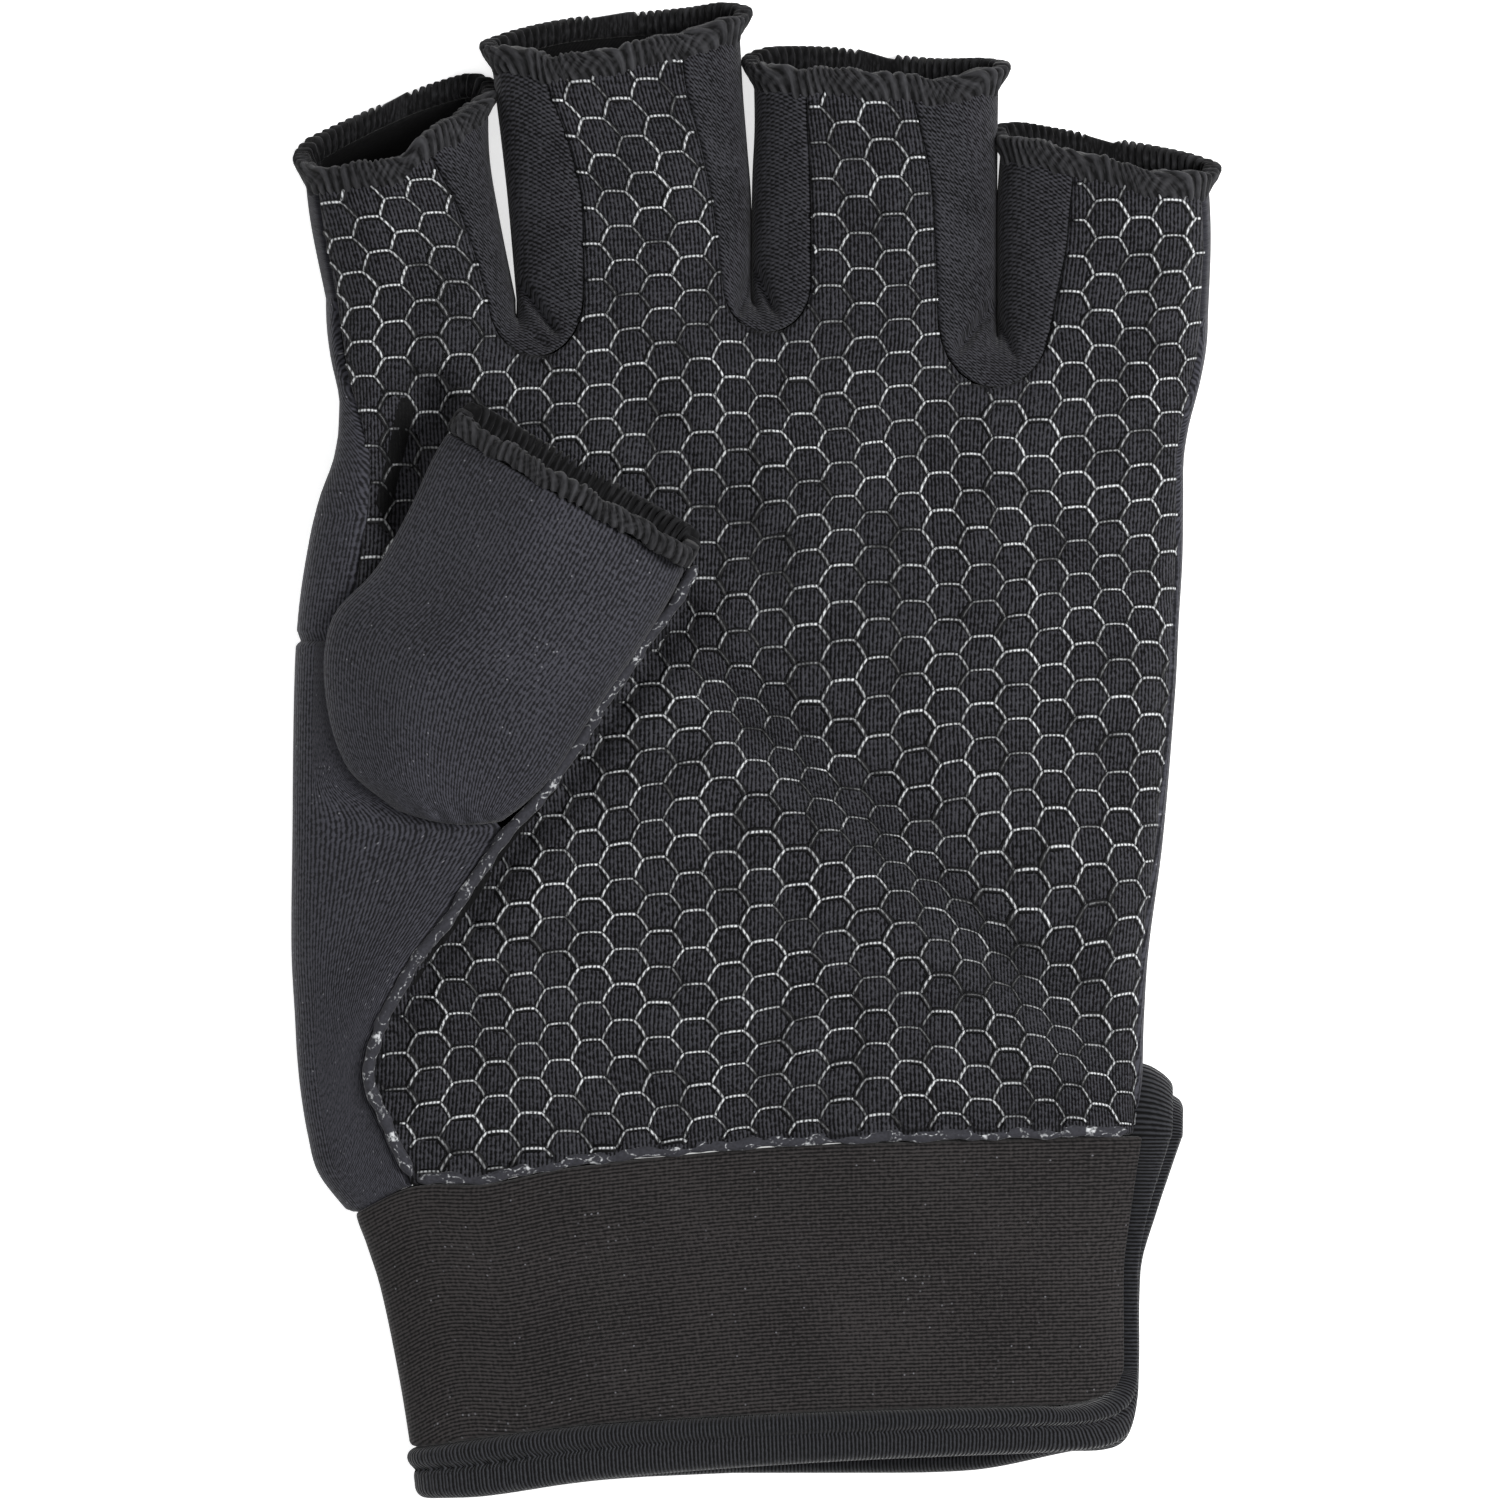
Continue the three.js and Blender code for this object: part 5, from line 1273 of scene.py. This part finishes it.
def back_wrap(side, share, v, flat_y, depth):
    """The back's edge wraps up round the side of the outer finger and of the hand to the palm's seam."""
    n = 3 if side > 0 else 0
    start = -UNDER_SEAM_ANGLE if side > 0 else PI + UNDER_SEAM_ANGLE

    def angle_in(ring, seam):
        end = angle_at(share_of(ring, seam))
        return lerp(start, angle_along(ring, start, end, 1.0, SEAM), share)

    def seam_at(y):
        return palm_edges(n, y)[1 if side > 0 else 0]

    crotch_y = CROTCH[2 if side > 0 else 0, 1]
    mouth = mouth_point(n, lambda y: angle_in(finger_ring(n, y), seam_at(y)), share.shape) + INTO_HEM
    rows = v[None, :]
    y = np.where(rows <= 1, lerp(mouth, crotch_y, np.clip(rows, 0, 1)), flat_y)
    finger, hand = finger_ring(n, y), hand_ring(y)
    hand_seam = palm_right(y) if side > 0 else curve(PALM_LEFT_SEAM, 1, y)
    fx, fz = ring_point(finger, angle_in(finger, seam_at(y)), depth)
    hx, hz = ring_point(hand, angle_in(hand, hand_seam), depth)
    into_hand = smoothstep(crotch_y - y, 0, CROTCH_FADE)
    return stacked(lerp(fx, hx, into_hand), y, lerp(fz, hz, into_hand))


class GLOVE_OT_back(bpy.types.Operator):
    """Back panel of stretch knit, wrapped round both edges of the hand, and the thumb gusset"""

    bl_idname = "glove.back"
    bl_label = "Back and gusset"

    def execute(self, context):
        self.back()
        self.gusset()
        return {"FINISHED"}

    def back(self):
        u, groups = columns_of(12, 12)
        v = np.concatenate([eased(24, 0.5), 1 + np.linspace(0, 1, 31)[1:], 2 + eased(44, 0.4)[1:]])
        x, y, share = back_plan(u, v)
        wrap = 22
        out = eased(wrap, 0.6)[:, None]
        left, right = 1 - out[:-1], out[1:]

        def point(depth):
            depth = np.broadcast_to(depth, (len(u) + 2 * wrap, len(v)))
            middle = depth[wrap:-wrap]
            flat = stacked(x - middle * share, y, middle)
            sides = [
                back_wrap(-1, left, v, y[:1], depth[:wrap]),
                back_wrap(1, right, v, y[-1:], depth[-wrap:]),
            ]
            return np.concatenate([sides[0], flat, sides[1]])

        row = v[:-1]
        strips = np.concatenate([np.zeros(wrap, int), groups, np.zeros(wrap, int)])
        present = (strips % 2 == 0)[:, None] | (row >= 1)[None, :]
        present[:wrap] &= (row < 2)[None, :]
        flat = point(0.0)
        across = lengths_along(flat)
        cloth = stacked(across - across[len(across) // 2], -flat[..., 1])
        cloth_wall("back_panel", point, KNIT, "stretch", cloth, present)

    def gusset(self):
        """From the back's seam round the hand's edge, then over to the thumb and the palm's rolled edge."""
        side, top, rows = 40, 30, 96
        to = angle_at(np.float64(GUSSET_TOP_SHARE))
        start = PI + UNDER_SEAM_ANGLE
        across = np.linspace(0, 1, side + 1)[:, None]
        over = eased(top, 0.7)[1:, None]
        down = eased(rows, 0.6)[None, :]

        def place(y, depth):
            hand = hand_ring(y[:side + 1])
            first = angle_along(hand, start, to, 0.0, SEAM)
            sx, sz = ring_point(hand, lerp(first, to, across), depth[:side + 1])
            around = stacked(sx, y[:side + 1], sz)
            lower = y[side + 1:]
            turn_x = ring_point(hand_ring(lower), to)[0]
            edge = curve(GUSSET_INNER_EDGE, 1, lower) + 0.3
            return np.concatenate([around, upper_point(lerp(turn_x, edge, over), lower, depth[side + 1:])])

        full = (side + top + 1, rows + 1)
        level = np.full(full, -48.6)
        wrist = curve(WRIST_SEAM, 1, place(level, np.zeros(full))[..., 0]) + SEAM
        y = lerp(GUSSET_TOP + 0.5, wrist, down)
        tucked = 0.8 * smoothstep(y, GUSSET_TOP - 0.7, GUSSET_TOP + 0.2)

        def point(depth):
            depth = np.broadcast_to(depth, full)
            grid = place(y, depth + tucked)
            pucker = 0.14 * np.sin(grid[..., 0] * 1.7) * bell(grid[..., 1] + 8.5, 2.5)
            soft = 0.25 * np.sin(0.21 * grid[..., 1] + 0.4) * smoothstep(grid[..., 2], 9, 14)
            grid[..., 2] += (pucker + soft) * smoothstep(grid[..., 2], 8, 12)
            return grid

        cloth_wall("thumb_gusset", point, KNIT, "stretch")


# ---------------------------------------------------------------- thumb


def thumb_plan(at, share):
    left_x, left_y, right_x, right_y = (curve(THUMB, column, at) for column in (1, 2, 3, 4))
    return lerp(left_x, right_x, share), lerp(left_y, right_y, share)


def thumb_width(at):
    left, right = thumb_plan(at, 0.0), thumb_plan(at, 1.0)
    return np.hypot(right[0] - left[0], right[1] - left[1])


def base_height(x, y):
    """The height of the hand under the thumb, with only the fold that the solids have."""
    return upper_point(x, y, folds=FOLDS[:1])[..., 2]


class GLOVE_OT_thumb(bpy.types.Operator):
    """Thumb: domed front, underside up to the thumb hole"""

    bl_idname = "glove.thumb"
    bl_label = "Thumb"

    def execute(self, context):
        self.front()
        self.underside()
        return {"FINISHED"}

    def front(self):
        """A dome across the thumb that sinks to its rounded seam. Its left half slopes away from a soft
        ridge."""
        angle = PI * np.linspace(0, 1, 97)[:, None]
        at = eased(90, 0.6)[None, :]

        def point(depth):
            inset = depth / thumb_width(at)
            share = lerp(inset, 1 - inset, (1 - np.cos(angle)) / 2)
            x, y = thumb_plan(at, share)
            y = y - 0.9 * np.sin(PI * share) * smoothstep(at, 0.8, 1)
            up = np.abs(np.sin(angle)) ** (2 / THUMB_POWER)
            fade = smoothstep(at, -0.1, 0.08) * (1 - smoothstep(at, 0.55, 0.95))
            crest = 0.5 - 0.16 * at
            slope = lerp(1, lerp(0.6, 1, smoothstep(share, 0.02, crest)), fade)
            ridge = 0.35 * bell(share - crest, 0.1) * fade
            crease = 0.1 * np.sin(26 * at + 9 * share) * smoothstep(at, 0.6, 0.9)
            pucker = 0.3 * np.sin(2.6 * x + 1.7 * y) * smoothstep(at, 0.92, 0.985)
            rise = (curve(THUMB, 5, at) - depth) * up * slope + (ridge + crease + pucker) * up
            lift = lerp(THUMB_LIFT, 0.1, smoothstep(at, 0.5, 0.75))
            return stacked(x, y, base_height(x, y) + lift + rise)

        cloth_wall("thumb_front", point, KNIT, "stretch")

    def underside(self):
        """A flat strip over the palm; each column ends where the thumb hole begins."""
        inset = 0.08
        part = np.linspace(inset, 1 - inset, 49)[:, None]
        low, high = np.zeros_like(part), np.ones_like(part)
        for _ in range(30):
            middle = (low + high) / 2
            above = thumb_plan(middle, part)[1] > THUMB_UNDERSIDE_END
            low, high = np.where(above, middle, low), np.where(above, high, middle)
        x, y = thumb_plan(low * np.linspace(0, 1, 31)[None, :], part)

        def point(depth):
            return stacked(x, y, base_height(x, y) + THUMB_LIFT + depth)

        cloth_wall("thumb_underside", point, SIDE_KNIT, "grip")


# ---------------------------------------------------------------- hems


def hem_section(count):
    """A rounded section: how far along the hem and how deep below its outer face each point lies."""
    turn = np.linspace(0, 2 * PI, count, endpoint=False)
    along = 0.5 + 0.5 * signed_power(np.cos(turn), HEM_ROUNDING)
    deep = 0.5 - 0.5 * signed_power(np.sin(turn), HEM_ROUNDING)
    return along[None, :], deep[None, :]


def stitch_ridge(length, total, along, pitch, slant, seed):
    """Overlock thread laid over an edge: one rounded ridge for each stitch, leaning by the slant, each with
    its own height and foot. Gives the ridge's height from 0 to 1, the stitch's own random value, and the
    place across the stitches in mm."""
    count = np.round(total / pitch)
    lean = slant * (0.75 + 0.5 * np.sin(length * 0.55 + seed)) * along
    phase = length / total * count + lean + 0.16 * np.sin(length * 0.9 + seed)
    number = np.floor(phase) % count
    part = phase - np.floor(phase)
    ridge = np.sin(PI * part) ** 1.7
    return ridge * (0.5 + 0.5 * chance(number, seed)), chance(number, seed + 1), phase * total / count


class GLOVE_OT_hems(bpy.types.Operator):
    """Overlocked hems of the four fingers and the thumb"""

    bl_idname = "glove.hems"
    bl_label = "Overlocked hems"

    AROUND = 640
    SECTION = 24

    def execute(self, context):
        sizes = context.scene.glove_sizes
        for n, name in enumerate(("index", "middle", "ring", "little")):
            self.finger_hem(n, f"hem_{name}", sizes)
        self.thumb_hem(sizes)
        return {"FINISHED"}

    def finger_hem(self, n, node, sizes):
        """The section is carried round the mouth. The palm's side is a broad band of long slanted stitches,
        the back's side ends in small loops, and both corners flare outwards."""
        top = finger_ring(n, STATIONS[n][0, 0])
        part = np.linspace(0, 1, self.AROUND, endpoint=False)
        angle = angle_along(top, -PI, PI, part, 0.0)[:, None]
        start = mouth_point(n, lambda y: angle + 0 * y, angle.shape)

        def place(reach, depth):
            x, z = ring_point(finger_ring(n, start), angle, depth)
            x = x + 1.1 * signed_power(np.cos(angle), 7) * smoothstep(reach, -0.2, 1.0)
            return stacked(x, start + reach * HEM_LENGTH, np.maximum(z, 0))

        self.stitched(node, place, angle, sizes.stitch_pitch / MM, seed=n, slant=-2.1, broad=0.35)

    def stitched(self, node, place, angle, pitch, seed, slant, broad):
        """Lays the stitches over the hem's section and puts the piece: slanted thread on the palm's side,
        small cords on the back's."""
        along, deep = hem_section(self.SECTION)
        front = smoothstep(np.sin(angle), -0.1, 0.35)
        centre = place(np.zeros((1, 1)), np.zeros((1, 1)))[:, 0]
        steps = np.linalg.norm(np.diff(np.concatenate([centre, centre[:1]]), axis=0), axis=1)
        length, total = running(steps)[:-1, None], steps.sum()
        ridge, foot, over = stitch_ridge(length, total, along + 0.6 * deep, pitch, slant, seed)
        cords = 0.5 + 0.5 * np.cos(2 * PI * length / total * np.round(total / 0.95))
        ridge = lerp(0.85 * cords, ridge, front)
        outward = np.clip((0.5 - deep) * 2.4, -1, 1)
        depth = deep * (HEM_WALL + HEM_PROUD) - HEM_PROUD - 0.26 * (ridge - 0.4) * outward
        feet = -(0.06 + 0.3 * foot * ridge) * smoothstep(0.5 - along, 0, 0.5) * np.clip(outward, 0, 1) * front
        rim = (0.2 * (ridge - 0.5) * front + 0.28 * cords * (1 - front)) * smoothstep(along, 0.5, 1)
        sway = (0.08 * np.sin(length * 0.75 + seed) + 0.05 * np.sin(length * 1.7)) * front
        points = place(along - broad * front * (1 - along) + feet + rim + sway, depth)
        cloth = stacked(lerp(length, over, front), (along + deep) * HEM_LENGTH)
        # Painted light and shade of the stitches: lighter on their ridges, dim on the back of the hem, and
        # dark on the section's inner turns.
        painted_stitch_shading = 1.15 * ridge * lerp(0.25, 1, front * smoothstep(0.9 - deep, 0, 0.4))
        put_piece(f"{node}_stitching", points, band_quads(self.AROUND, self.SECTION), cloth, "thread",
                  replaces=(node,), extra=stacked(painted_stitch_shading, deep))

    def thumb_hem(self, sizes):
        root, mouth = (np.array(thumb_plan(at, 0.5)) for at in (0.45, 0.0))
        axis = (mouth - root) / np.linalg.norm(mouth - root)
        dome = THUMB[0, 5]
        angle = np.linspace(0, 2 * PI, self.AROUND, endpoint=False)[:, None]

        def place(reach, depth):
            inset = depth / thumb_width(0.0)
            share = lerp(inset, 1 - inset, (1 - np.cos(angle)) / 2)
            x, y = thumb_plan(0.0, share)
            over = np.sin(angle) >= 0
            up = np.abs(np.sin(angle)) ** (2 / np.where(over, THUMB_POWER, UNDER_POWER))
            rise = np.where(over, (dome / 2 - depth) * up, (depth - dome / 2) * up)
            slope = lerp(0.6, 1, smoothstep(share, 0.02, 0.5))
            far = SEAM + reach * (HEM_LENGTH + 1.3 * (1 - smoothstep(np.sin(angle), -0.4, 0.1)))
            x, y = x + axis[0] * far, y + axis[1] * far
            z = base_height(x, y) + THUMB_LIFT + HEM_PROUD + (dome / 2 + rise) * slope
            return stacked(x, y, z)

        pitch = 0.92 * sizes.stitch_pitch / MM
        self.stitched("hem_thumb", place, angle, pitch, seed=7, slant=1.3, broad=-0.05)


# ---------------------------------------------------------------- cuff, binding and tab


def cuff_point(angle, y, depth=0.0):
    x, z = ring_point(cuff_ring(y), angle, depth)
    return stacked(x, y, z)


def hem_top_y(angle):
    return curve(CUFF_HEM_TOP, 1, ring_point(cuff_ring(-76.0), angle)[0])


def hem_end_y(angle):
    x = ring_point(cuff_ring(-80.0), angle)[0]
    palm, back = curve(CUFF_HEM_PALM_END, 1, x), curve(CUFF_HEM_BACK_END, 1, x)
    return lerp(back, palm, smoothstep(np.sin(angle), -0.5, 0.5))


def cuff_end_y(angle):
    """The lower end of the cuff's cloth, with a rounded corner on each side of the slit."""
    from_palm = (angle - SLIT_PALM) / (CORNER_ANGLE - SLIT_PALM)
    from_back = (2 * PI + SLIT_BACK - angle) / (CORNER_ANGLE - SLIT_PALM)
    near = np.clip(np.minimum(from_palm, from_back), 0, 1)
    return lerp(SLIT_CORNER, hem_top_y(angle), np.sqrt(1 - (1 - near) ** 2))


def binding_stations():
    """The tape's run as arrays: side, inner and outer angle, inner and outer y. It goes down the palm's side
    of the slit, round the corner, along the lower edge and back up the other side."""
    slit, corner, hem = 60, 30, 260
    down = np.linspace(0, 1, slit, endpoint=False)
    turn = np.linspace(0, 1, corner, endpoint=False)
    corner_reach = CORNER_ANGLE - SLIT_PALM

    def run(*values):
        return np.stack(np.broadcast_arrays(*values))

    def slit_part(side, share):
        inner = (SLIT_PALM if side > 0 else -SLIT_BACK) - SLIT_CLEARANCE
        y = lerp(SLIT_TOP, SLIT_CORNER, share)
        return run(side, inner, SLIT_LIP, y, y)

    def corner_part(side, share):
        turned = PI / 2 * share
        first = SLIT_PALM if side > 0 else -SLIT_BACK
        inner = first - SLIT_CLEARANCE * np.cos(turned) + corner_reach * (1 - np.cos(turned))
        outer = SLIT_LIP + (inner - SLIT_LIP) * (1 - np.cos(turned)) ** 0.8
        at_inner, at_outer = (angle if side > 0 else 2 * PI - angle for angle in (inner, outer))
        inner_y = lerp(SLIT_CORNER, hem_top_y(at_inner), np.sin(turned))
        outer_y = lerp(SLIT_CORNER - 2, hem_end_y(at_outer), np.sin(turned))
        return run(side, inner, outer, np.minimum(inner_y, cuff_end_y(at_inner) - 0.1), outer_y)

    angle = np.linspace(CORNER_ANGLE, 2 * PI + SLIT_BACK - corner_reach, hem + 1)
    return np.concatenate([
        slit_part(1, down),
        corner_part(1, turn),
        run(1, angle, angle, hem_top_y(angle), hem_end_y(angle)),
        corner_part(-1, turn[::-1]),
        slit_part(-1, down[::-1]),
    ], axis=1)


class GLOVE_OT_cuff(bpy.types.Operator):
    """Neoprene cuff, its binding tape and the closure tab"""

    bl_idname = "glove.cuff"
    bl_label = "Cuff"

    def execute(self, context):
        self.band()
        self.binding()
        self.tab()
        return {"FINISHED"}

    def band(self):
        part = eased(220, 0.35)[:, None]
        angle = lerp(SLIT_PALM - SLIT_CLEARANCE * 0.6, 2 * PI + SLIT_BACK + SLIT_CLEARANCE * 0.6, part)
        seam_x = ring_point(cuff_ring(-47.0), angle)[0]
        top = curve(WRIST_SEAM, 1, seam_x) - SEAM
        y = lerp(top, cuff_end_y(angle) + SEAM, eased(46, 0.8)[None, :])

        def point(depth):
            grid = cuff_point(angle, y, depth)
            soft = 0.22 * np.sin(0.17 * grid[..., 0] + 0.09 * y) * np.sin(0.2 * y + 0.8)
            grid[..., 2] += soft * smoothstep(np.sin(angle), 0.1, 0.5)
            grid[..., 0] += 0.42 * curve(SLIT_BULGE, 1, y) * smoothstep(grid[..., 0], 36, 42)
            return grid

        cloth_wall("cuff", point, NEOPRENE, "neoprene", suffix="neoprene", round_by=0.3)

    def binding(self):
        side, inner, outer, inner_y, outer_y = (row[:, None] for row in binding_stations())
        share = eased(26, 0.7)[None, :]
        loop_count = 90
        turn = PI * (1 - np.arange(1, loop_count) / loop_count)[:, None]

        def shape(depth, raised):
            count = len(side) + loop_count - 1
            outward = np.where(depth > BINDING / 2, -1, 1)
            sunk = np.broadcast_to(depth, (count, share.shape[1])) - raised * outward
            angle = lerp(inner, outer, share)
            tape = cuff_point(np.where(side > 0, angle, 2 * PI - angle), lerp(inner_y, outer_y, share),
                              sunk[loop_count - 1:])
            tape[..., 0] += self.bulge(tape[..., 1], share) * (np.abs(angle) < CORNER_ANGLE)
            return np.concatenate([self.loop(turn, share, sunk[:loop_count - 1]), tape])

        middle_line = slice(13, 14)
        run = lengths_along(shape(0.0, 0.0))[:, middle_line]
        rolled = np.concatenate([np.ones_like(turn), smoothstep(inner_y, -64, -48)])
        bead = 0.5 + 0.5 * np.cos(2 * PI * run / 1.45 + 0.5 * np.sin(2 * PI * run / 7.1))
        stitched = lerp(0.75 - 0.6 * bead ** 3, 1.0, rolled)
        upper = np.concatenate([np.ones_like(turn), smoothstep(inner_y, -54, -43.4)])
        middle = lerp(lerp(0.44, 0.32, rolled), 0.6, upper)
        cord = lerp(0.5, 0.8, rolled) * np.sin(PI * np.clip(share / (middle - 0.02), 0, 1)) ** 0.8
        second = 0.5 * rolled * np.sin(PI * np.clip((share - middle) / (1 - middle), 0, 1))
        raised = cord + second - stitched * bell(share - middle, lerp(0.055, 0.07, rolled))

        def point(depth):
            return shape(depth, raised)

        cloth = stacked(lengths_along(point(0.0))[:, middle_line], share * TAPE_WIDTH)
        cloth_wall("cuff_binding", point, BINDING, "tape", cloth, loop=True, suffix="tape")

    def bulge(self, y, share):
        """Near the slit's upper end the two tapes stand out sideways, the outer edge most."""
        return curve(SLIT_BULGE, 1, y) * lerp(0.42, 1.0, share)

    def loop(self, turn, share, depth):
        """The tape over the slit's upper end: it leaves both sides of the slit and stands out between."""
        out = np.sin(turn)
        ends = []
        for sign, first in ((1, SLIT_PALM), (-1, -SLIT_BACK)):
            angle = lerp(first - SLIT_CLEARANCE, SLIT_LIP, share)
            ends.append(cuff_point(angle if sign > 0 else 2 * PI - angle, SLIT_TOP, depth))
            ends[-1][..., 0] += self.bulge(SLIT_TOP, share)
        place = lerp(ends[0], ends[1], ((1 - np.cos(turn)) / 2)[..., None])
        round_out = np.sin(PI * share)
        bulge = lerp(LOOP["inner_x"], LOOP["outer_x"], share) + 0.9 * round_out
        bulge = bulge - lerp(1, LOOP["depth"], out) * depth
        place[..., 0] = lerp(place[..., 0], bulge, out ** 0.5)
        place[..., 1] += out ** 1.4 * (lerp(LOOP["inner_rise"], LOOP["outer_rise"], share) + 0.4 * round_out)
        return place

    def tab(self):
        """A rectangle whose corners are rounded by moving rings of the grid onto the rounded outline."""
        half = np.array([TAB["right"] - TAB["left"], TAB["high"] - TAB["low"]]) / 2
        centre = np.array([TAB["right"] + TAB["left"], TAB["high"] + TAB["low"]]) / 2
        s, t = np.meshgrid(eased(60, 0.8) * 2 - 1, eased(36, 0.8) * 2 - 1, indexing="ij")
        ring = np.maximum(np.maximum(np.abs(s), np.abs(t)), 1e-6)
        edge = stacked(s / ring * half[0], t / ring * half[1])
        over = np.maximum(np.abs(edge) - (half - TAB["corner"]), 0)
        reach = np.linalg.norm(over, axis=-1, keepdims=True)
        both = (over > 0).all(axis=-1, keepdims=True)
        pulled = np.sign(edge) * (half - TAB["corner"] + over * TAB["corner"] / np.maximum(reach, 1e-6))
        edge = np.where(both, pulled, edge)
        plan = centre + edge * ring[..., None]

        def point(depth):
            return stacked(plan[..., 0], plan[..., 1], TAB["thickness"] - depth)

        cloth_wall("closure_tab", point, TAB["thickness"], "tape", plan)


# ---------------------------------------------------------------- stage


class GLOVE_OT_stage(bpy.types.Operator):
    """Pale floor, soft lights and a camera straight above the palm"""

    bl_idname = "glove.stage"
    bl_label = "Floor, lights and camera"

    def execute(self, context):
        self.floor()
        self.lights()
        self.camera(context.scene)
        return {"FINISHED"}

    def floor(self):
        mesh = bpy.data.meshes.new("studio_floor")
        corners = [(x * FLOOR_REACH, y * FLOOR_REACH, 0) for x, y in ((-1, -1), (1, -1), (1, 1), (-1, 1))]
        mesh.from_pydata(corners, [], [(0, 1, 2, 3)])
        material, tree, _ = start_material("matt_paper_sweep")
        grain = add(tree, "TexNoise", {"Scale": 300.0, "Detail": 2.0}).outputs["Fac"]
        white = (*bpy.context.scene.glove_colours.floor, 1)
        mesh.materials.append(finish_material(
            material, tree, white, roughness=0.9, height=grain, bump=0.01, specular=0.1, glow=FLOOR_GLOW))
        floor = bpy.data.objects.new("studio_floor", mesh)
        bpy.context.scene.collection.objects.link(floor)

    def lights(self):
        """A key light from the upper right, weak ones from the left and from above, and an even pale sky."""
        for name, place, size, power in LIGHTS:
            light = bpy.data.lights.new(name, "AREA")
            light.shape = "SQUARE"
            light.size = size
            light.energy = power
            lamp = bpy.data.objects.new(name, light)
            lamp.location = place
            lamp.rotation_euler = (-Vector(place)).to_track_quat("-Z", "Y").to_euler()
            bpy.context.scene.collection.objects.link(lamp)
        world = bpy.data.worlds.new("pale_studio")
        world.use_nodes = True
        background = world.node_tree.nodes["Background"]
        background.inputs["Color"].default_value = (1, 1, 1, 1)
        background.inputs["Strength"].default_value = SKY_STRENGTH
        bpy.context.scene.world = world

    def camera(self, scene):
        """A long lens straight above, which shows the picture's width at the floor."""
        camera = bpy.data.cameras.new("camera_above")
        camera.sensor_width = SENSOR_WIDTH
        camera.lens = SENSOR_WIDTH * CAMERA_DISTANCE / PICTURE_WIDTH
        camera.clip_end = 20
        rig = bpy.data.objects.new("camera_above", camera)
        rig.location = (0, 0, CAMERA_DISTANCE)
        scene.collection.objects.link(rig)
        scene.camera = rig
        scene.view_settings.view_transform = "Standard"


# ---------------------------------------------------------------- settings and panel


def length_setting(label, text, default):
    return FloatProperty(name=label, description=text, default=default, min=0.0, unit="LENGTH")


def colour_setting(label, text, hex_colour):
    return FloatVectorProperty(
        name=label, description=text, default=linear(hex_colour)[:3], size=3, min=0.0, max=1.0,
        subtype="COLOR")


class GloveSizes(bpy.types.PropertyGroup):
    """Sizes of the print and the stitches"""

    hex_pitch: length_setting("Hexagon pitch", "Height of one printed hexagon", 0.00395)
    groove_width: length_setting("Border width", "Width of a printed line with its dark border", 0.0009)
    print_height: length_setting("Line height", "How far the silicone stands above the knit", 0.00014)
    hex_tilt: FloatProperty(
        name="Print tilt", description="Turn of the printed pattern", default=np.radians(2.6),
        subtype="ANGLE")
    stitch_pitch: length_setting("Stitch pitch", "Distance between overlock stitches", 0.00105)


class GloveColours(bpy.types.PropertyGroup):
    """Colours of the cloths, thread, tape, print and floor"""

    grip_dark: colour_setting("Grip knit, dark", "Palm knit between its loops", "#030304")
    grip_light: colour_setting("Grip knit, light", "Palm knit on its loops", "#36363b")
    print_dark: colour_setting("Print, dark", "Silicone sunk in the knit", "#0c0c0e")
    # The light print colour is a painted glint on the silicone where it stands up.
    print_light: colour_setting("Print, light", "Silicone where it stands up", "#d2d4d6")
    knit_dark: colour_setting("Stretch knit, dark", "Back and thumb knit between its loops", "#18181b")
    knit_light: colour_setting("Stretch knit, light", "Back and thumb knit on its loops", "#3d3d44")
    side_dark: colour_setting("Side knit, dark", "Side strips between their ribs", "#020203")
    side_light: colour_setting("Side knit, light", "Side strips on their ribs", "#38383d")
    neoprene_dark: colour_setting("Neoprene, dark", "Cuff between its ribs", "#0f0e0e")
    neoprene_light: colour_setting("Neoprene, light", "Cuff on its ribs", "#322f2f")
    tape_dark: colour_setting("Tape, dark", "Binding between its ribs", "#020203")
    tape_light: colour_setting("Tape, light", "Binding on its ribs", "#303135")
    # The thread's two colours carry painted highlight on its ridges and painted shade in its hollows.
    thread_dark: colour_setting("Thread, dark", "Overlock thread in its hollows", "#030304")
    thread_light: colour_setting("Thread, light", "Overlock thread where it stands proud", "#464649")
    floor: colour_setting("Floor", "Matt paper under the glove", "#f4f4f4")


OPERATORS = (
    GLOVE_OT_palm,
    GLOVE_OT_sides,
    GLOVE_OT_back,
    GLOVE_OT_thumb,
    GLOVE_OT_hems,
    GLOVE_OT_cuff,
    GLOVE_OT_stage,
)


class GLOVE_PT_pieces(bpy.types.Panel):
    """Sizes, colours and the glove's pieces"""

    bl_idname = "GLOVE_PT_pieces"
    bl_label = "Field hockey glove"
    bl_space_type = "VIEW_3D"
    bl_region_type = "UI"
    bl_category = "Glove"

    def draw(self, context):
        layout = self.layout
        for group in (context.scene.glove_sizes, context.scene.glove_colours):
            box = layout.box()
            for name in group.__annotations__:
                box.prop(group, name)
        for operator in OPERATORS:
            layout.operator(operator.bl_idname)


CLASSES = (GloveSizes, GloveColours, *OPERATORS, GLOVE_PT_pieces)


def register():
    for cls in CLASSES:
        bpy.utils.register_class(cls)
    bpy.types.Scene.glove_sizes = PointerProperty(type=GloveSizes)
    bpy.types.Scene.glove_colours = PointerProperty(type=GloveColours)


def unregister():
    del bpy.types.Scene.glove_colours
    del bpy.types.Scene.glove_sizes
    for cls in reversed(CLASSES):
        bpy.utils.unregister_class(cls)


def main():
    register()
    bpy.ops.glove.palm()
    bpy.ops.glove.sides()
    bpy.ops.glove.back()
    bpy.ops.glove.thumb()
    bpy.ops.glove.hems()
    bpy.ops.glove.cuff()
    bpy.ops.glove.stage()


if __name__ == "__main__":
    main()
